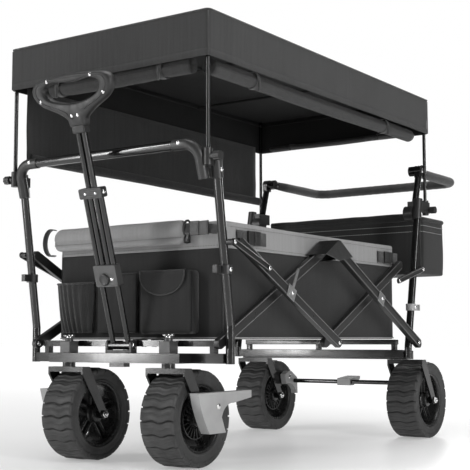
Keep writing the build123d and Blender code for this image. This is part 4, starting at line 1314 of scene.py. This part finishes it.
def make_fasteners():
    """Bright rivets and bolts, one object for each body that they move with."""
    spots = {}

    def add(body, part):
        spots.setdefault(body, []).append(part)

    link_x, bracket_x = span("front_links", 0)[1], span("rear_crossing_brackets", 0)[1]
    front, rear = pivot("front_link_pivot"), pivot("rear_link_pivot")
    low_front = span("front_links", 1)[1] - 7, span("front_links", 2)[0] + 7
    low_rear = span("rear_links", 1)[0] + 7, span("rear_links", 2)[0] + 7
    for side in SIDES:
        out = Vector((side, 0, 0))
        hand = "left" if side < 0 else "right"
        for body, places in (("front_links", (front, low_front)), ("rear_links", (rear, low_rear))):
            for place in places:
                add(body, dome_part(at(side * link_x, *place), out, 4.6, 1.8))
        add("front_upper_bars", dome_part(at(side * bracket_x, *pivot("front_crossing")), out, 4.4, 1.8))
        add("front_upper_bars", dome_part(at(side * (OUTER_FACE + 0.2), 0, pivot("fold")[1]), out, 5.0, 2.2))
        add("rear_lower_bars", dome_part(at(side * bracket_x, *pivot("rear_crossing")), out, 4.4, 1.8))
        add("rear_lower_bars", dome_part(at(side * (OUTER_FACE + 2), *pivot("rear_pivot")), out, 5.2, 2.2))
        for body, node in (("front_frame", "front_hooks"), ("rear_frame", "rear_hooks")):
            edge = span(node, 0)[1]
            z = midway(node, 2)
            y = span("front_hooks", 1)[1] - 12.5 if body == "front_frame" else span("rear_hooks", 1)[0] + 12.5
            add(body, dome_part(at(side * (edge - 0.4), y, z), out, 4.8, 2.6))
        # The elbows' screws: one on the cross bar's socket, one on the upright's sleeve.
        bar_y = midway("front_cross_bar", 1)
        bar_z = midway("front_cross_bar", 2)
        add("front_frame", dome_part(at(side * 208, bar_y - 11.2, bar_z + 2), Vector((0, -1, 0)), 4.2, 2.0))
        add("front_frame", dome_part(at(side * 281.8, -453, 600), out, 4.4, 2.2))
        add("rear_frame", dome_part(at(side * 281.8, 480, 600), out, 4.4, 2.2))
        hinge_y, hinge_z = pivot("push_bar_tilt")
        add("rear_frame", dome_part(at(side * 259, hinge_y, hinge_z), out, 6.0, 3.0))
        # Axle nuts and brake pivots.
        for body, tyre in ((f"caster_{hand}", f"tyre_front_{hand}"), ("rear_frame", f"tyre_rear_{hand}")):
            centre, y = midway(tyre, 0), midway(tyre, 1)
            for face in SIDES:
                spot = at(centre + face * 51.5, y, TYRE_RADIUS)
                add(body, nut_part(spot, Vector((face, 0, 0)), 9, 6, 4.5))
        pedal_x = span(f"brake_pedal_{hand}", 0)[0 if side < 0 else 1]
        add(f"brake_{hand}", dome_part(at(pedal_x, *pivot(f"brake_press_{hand}")), out, 6.0, 3.0))
        lever_y, lever_z = pivot("rear_brake_press")
        add("rear_brake", dome_part(at(side * 171, lever_y, lever_z), -out, 5.0, 2.4))
        # Scissor pivots on the inner bars, seen from inside.
        add("front_lower_bars", dome_part(at(side * 247, *pivot("fold")), -out, 5.0, 2.0))
        for x, reach in ((60, 572), (86, 533), (8, 495)):
            add("handle_upper", dome_part(on_handle(side * x, reach, 11.6), HANDLE_OUT, 4.0, 1.6))
        add("handle_lower", dome_part(on_handle(side * 31, CLAMP_REACH), out, 5.2, 2.8))
        add("handle_lower", dome_part(on_handle(side * 14, CLAMP_REACH, 9), HANDLE_OUT, 3.6, 1.6))
        add("front_frame", dome_part(at(side * 36, *pivot("handle_tilt")), out, 7.0, 3.4))
        # The wing nut on top of each caster stem.
        stem = at(side * CASTER_X, midway("stem_housings", 1), span("stem_housings", 2)[1])
        add("front_frame", turned_part(stem, UP, [(-0.5, 7), (3, 6.5), (6, 4), (8, 3)], 20))
        for way in SIDES:
            wing = (Vector((way * 0.97, 0, 0.24)), BACK, Vector((-way * 0.24, 0, 0.97)))
            add("front_frame", box_part(stem + wing[0] * 9 * MM + Vector((0, 0, 3 * MM)), wing, (9, 8, 3.2)))
    add("handle_upper", dome_part(on_handle(16, SLIDER_REACH, 9), HANDLE_OUT, 4.4, 2.6))
    for body, parts in sorted(spots.items()):
        wear(gather(f"fasteners_{body}", parts, BRIGHT), body, "zinc_steel")


def make_handle_details():
    """The slider's round lock button, and ribs along the telescope's collar."""
    button = turned_part(on_handle(-4, SLIDER_REACH, 8.6), HANDLE_OUT,
                         [(0, 13), (3, 13), (4.6, 12), (5.2, 10), (4.4, 8.6), (4.4, 0.5)], 36)
    wear(gather("handle_lock_button", [button], PLASTIC), "handle_upper", "black_plastic")
    ribs = [box_part(on_handle(0, 325 + 4 * k, 9.1), HANDLE_AXES, (24, 1.6, 1.4)) for k in range(4)]
    wear(bevel(gather("handle_clamp_ribs", ribs, CLAMP_GREY), 0.4), "handle_lower", "black_plastic")


def make_push_grip():
    """Foam over the whole push bar: along both arms, round the corners and across."""
    y, z = midway("push_grip", 1), midway("push_grip", 2)
    radius = (span("push_grip", 2)[1] - span("push_grip", 2)[0]) / 2
    arm_x = (span("push_bar", 0)[1] - span("push_bar", 0)[0]) / 2 - 10
    hinge_y = pivot("push_bar_tilt")[0]
    bend = 38
    path = [(arm_x, mix(hinge_y + 19, y - bend, k / 4)) for k in range(4)]
    for k in range(9):
        turn = pi / 2 * k / 8
        path.append((arm_x - bend + bend * cos(turn), y - bend + bend * sin(turn)))
    inner = arm_x - bend
    path += [(mix(inner, -inner, k / 40), y) for k in range(1, 40)]
    path += [(-px, py) for px, py in reversed(path[:13])]
    line = [at(px, py, z) for px, py in path]
    rows = []
    count = len(line)
    for index, (place, side, up) in enumerate(frames_along(line)):
        end = min(index, count - 1 - index)
        reach = radius - (2.2, 0.4)[end] if end < 2 else radius + 0.25 * sin(index * 2.4) - 0.25
        turns = [2 * pi * k / 28 for k in range(28)]
        rows.append([place + (side * cos(a) + up * sin(a)) * reach * MM for a in turns])
    caps = []
    for row, place in ((rows[0], line[0]), (rows[-1], line[-1])):
        caps.append([place + (point - place) * 10.2 / (radius - 2.2) for point in row])
    piece = skin("push_bar_foam", [caps[0]] + rows + [caps[1]], FOAM, flip=True)
    wear(piece, "push_bar", "foam", "push_grip")


# ---------------------------------------------------------------- everything, then the studio
dress_cad()
make_roof()
make_roof_frame()
make_rolls()
make_curtain()
make_basket()
make_basket_trim()
make_band()
make_flap()
make_side_straps()
make_pockets()
make_rear_bag()
make_wheels()
make_grip()
make_handle_details()
make_push_grip()
make_fasteners()


def make_studio():
    corners = [Vector((x, y, -0.0004)) for x, y in ((-30, -30), (30, -30), (30, 30), (-30, 30))]
    look = Look("studio_floor", 238, 0.22)
    far = look.node("ShaderNodeVectorMath", {0: look.place}, operation="LENGTH").outputs["Value"]
    look.shader.inputs["Emission Color"].default_value = (1, 1, 1, 1)
    glow = look.ramp(far, 0.3, 0.85, 0.8, 4.5)
    look.tree.links.new(glow, look.shader.inputs["Emission Strength"])
    build("studio_floor", corners, [(0, 1, 2, 3)], look.material)
    world = bpy.data.worlds.new("studio")
    bpy.context.scene.world = world
    world.use_nodes = True
    nodes, links = world.node_tree.nodes, world.node_tree.links
    soft = nodes["Background"]
    soft.inputs["Color"].default_value = (1, 1, 1, 1)
    soft.inputs["Strength"].default_value = 0.17
    white = nodes.new("ShaderNodeBackground")
    white.inputs["Color"].default_value = (1, 1, 1, 1)
    white.inputs["Strength"].default_value = 1.0
    either = nodes.new("ShaderNodeMixShader")
    links.new(nodes.new("ShaderNodeLightPath").outputs["Is Camera Ray"], either.inputs["Fac"])
    links.new(soft.outputs[0], either.inputs[1])
    links.new(white.outputs[0], either.inputs[2])
    links.new(either.outputs[0], nodes["World Output"].inputs["Surface"])
    aim = at(0, 0, 450)
    for name, place, size, power in (
        ("top", (0.2, -0.3, 3.4), (2.6, 2.6), 75),
        ("front_left_strip", (-2.1, -3.0, 1.3), (0.3, 2.4), 62),
        ("right_strip", (3.2, -1.3, 1.3), (0.35, 2.4), 66),
        ("rear", (-0.6, 3.6, 1.8), (1.6, 1.6), 60),
    ):
        light = bpy.data.lights.new(name, "AREA")
        light.shape = "RECTANGLE"
        light.size, light.size_y = size
        light.energy = power
        lamp = bpy.data.objects.new(name, light)
        lamp.location = place
        lamp.rotation_euler = (aim - Vector(place)).to_track_quat("-Z", "Y").to_euler()
        bpy.context.scene.collection.objects.link(lamp)
    bpy.context.scene.view_settings.view_transform = "Standard"


CAMERA_LENS = 82.78
CAMERA_PLACE = 1.5149, -2.3058, 0.2637
CAMERA_PITCH, CAMERA_ROLL, CAMERA_TURN = 5.4882, -0.1154, 34.6482


def make_camera():
    data = bpy.data.cameras.new("camera")
    data.lens = CAMERA_LENS
    data.sensor_width = 36
    camera = bpy.data.objects.new("camera", data)
    camera.location = CAMERA_PLACE
    pitch = Matrix.Rotation(radians(90 + CAMERA_PITCH), 4, "X")
    roll = Matrix.Rotation(radians(CAMERA_ROLL), 4, "Z")
    turn = Matrix.Rotation(radians(CAMERA_TURN), 4, "Z") @ pitch @ roll
    camera.rotation_euler = turn.to_euler()
    bpy.context.scene.collection.objects.link(camera)
    bpy.context.scene.camera = camera


make_studio()
make_camera()
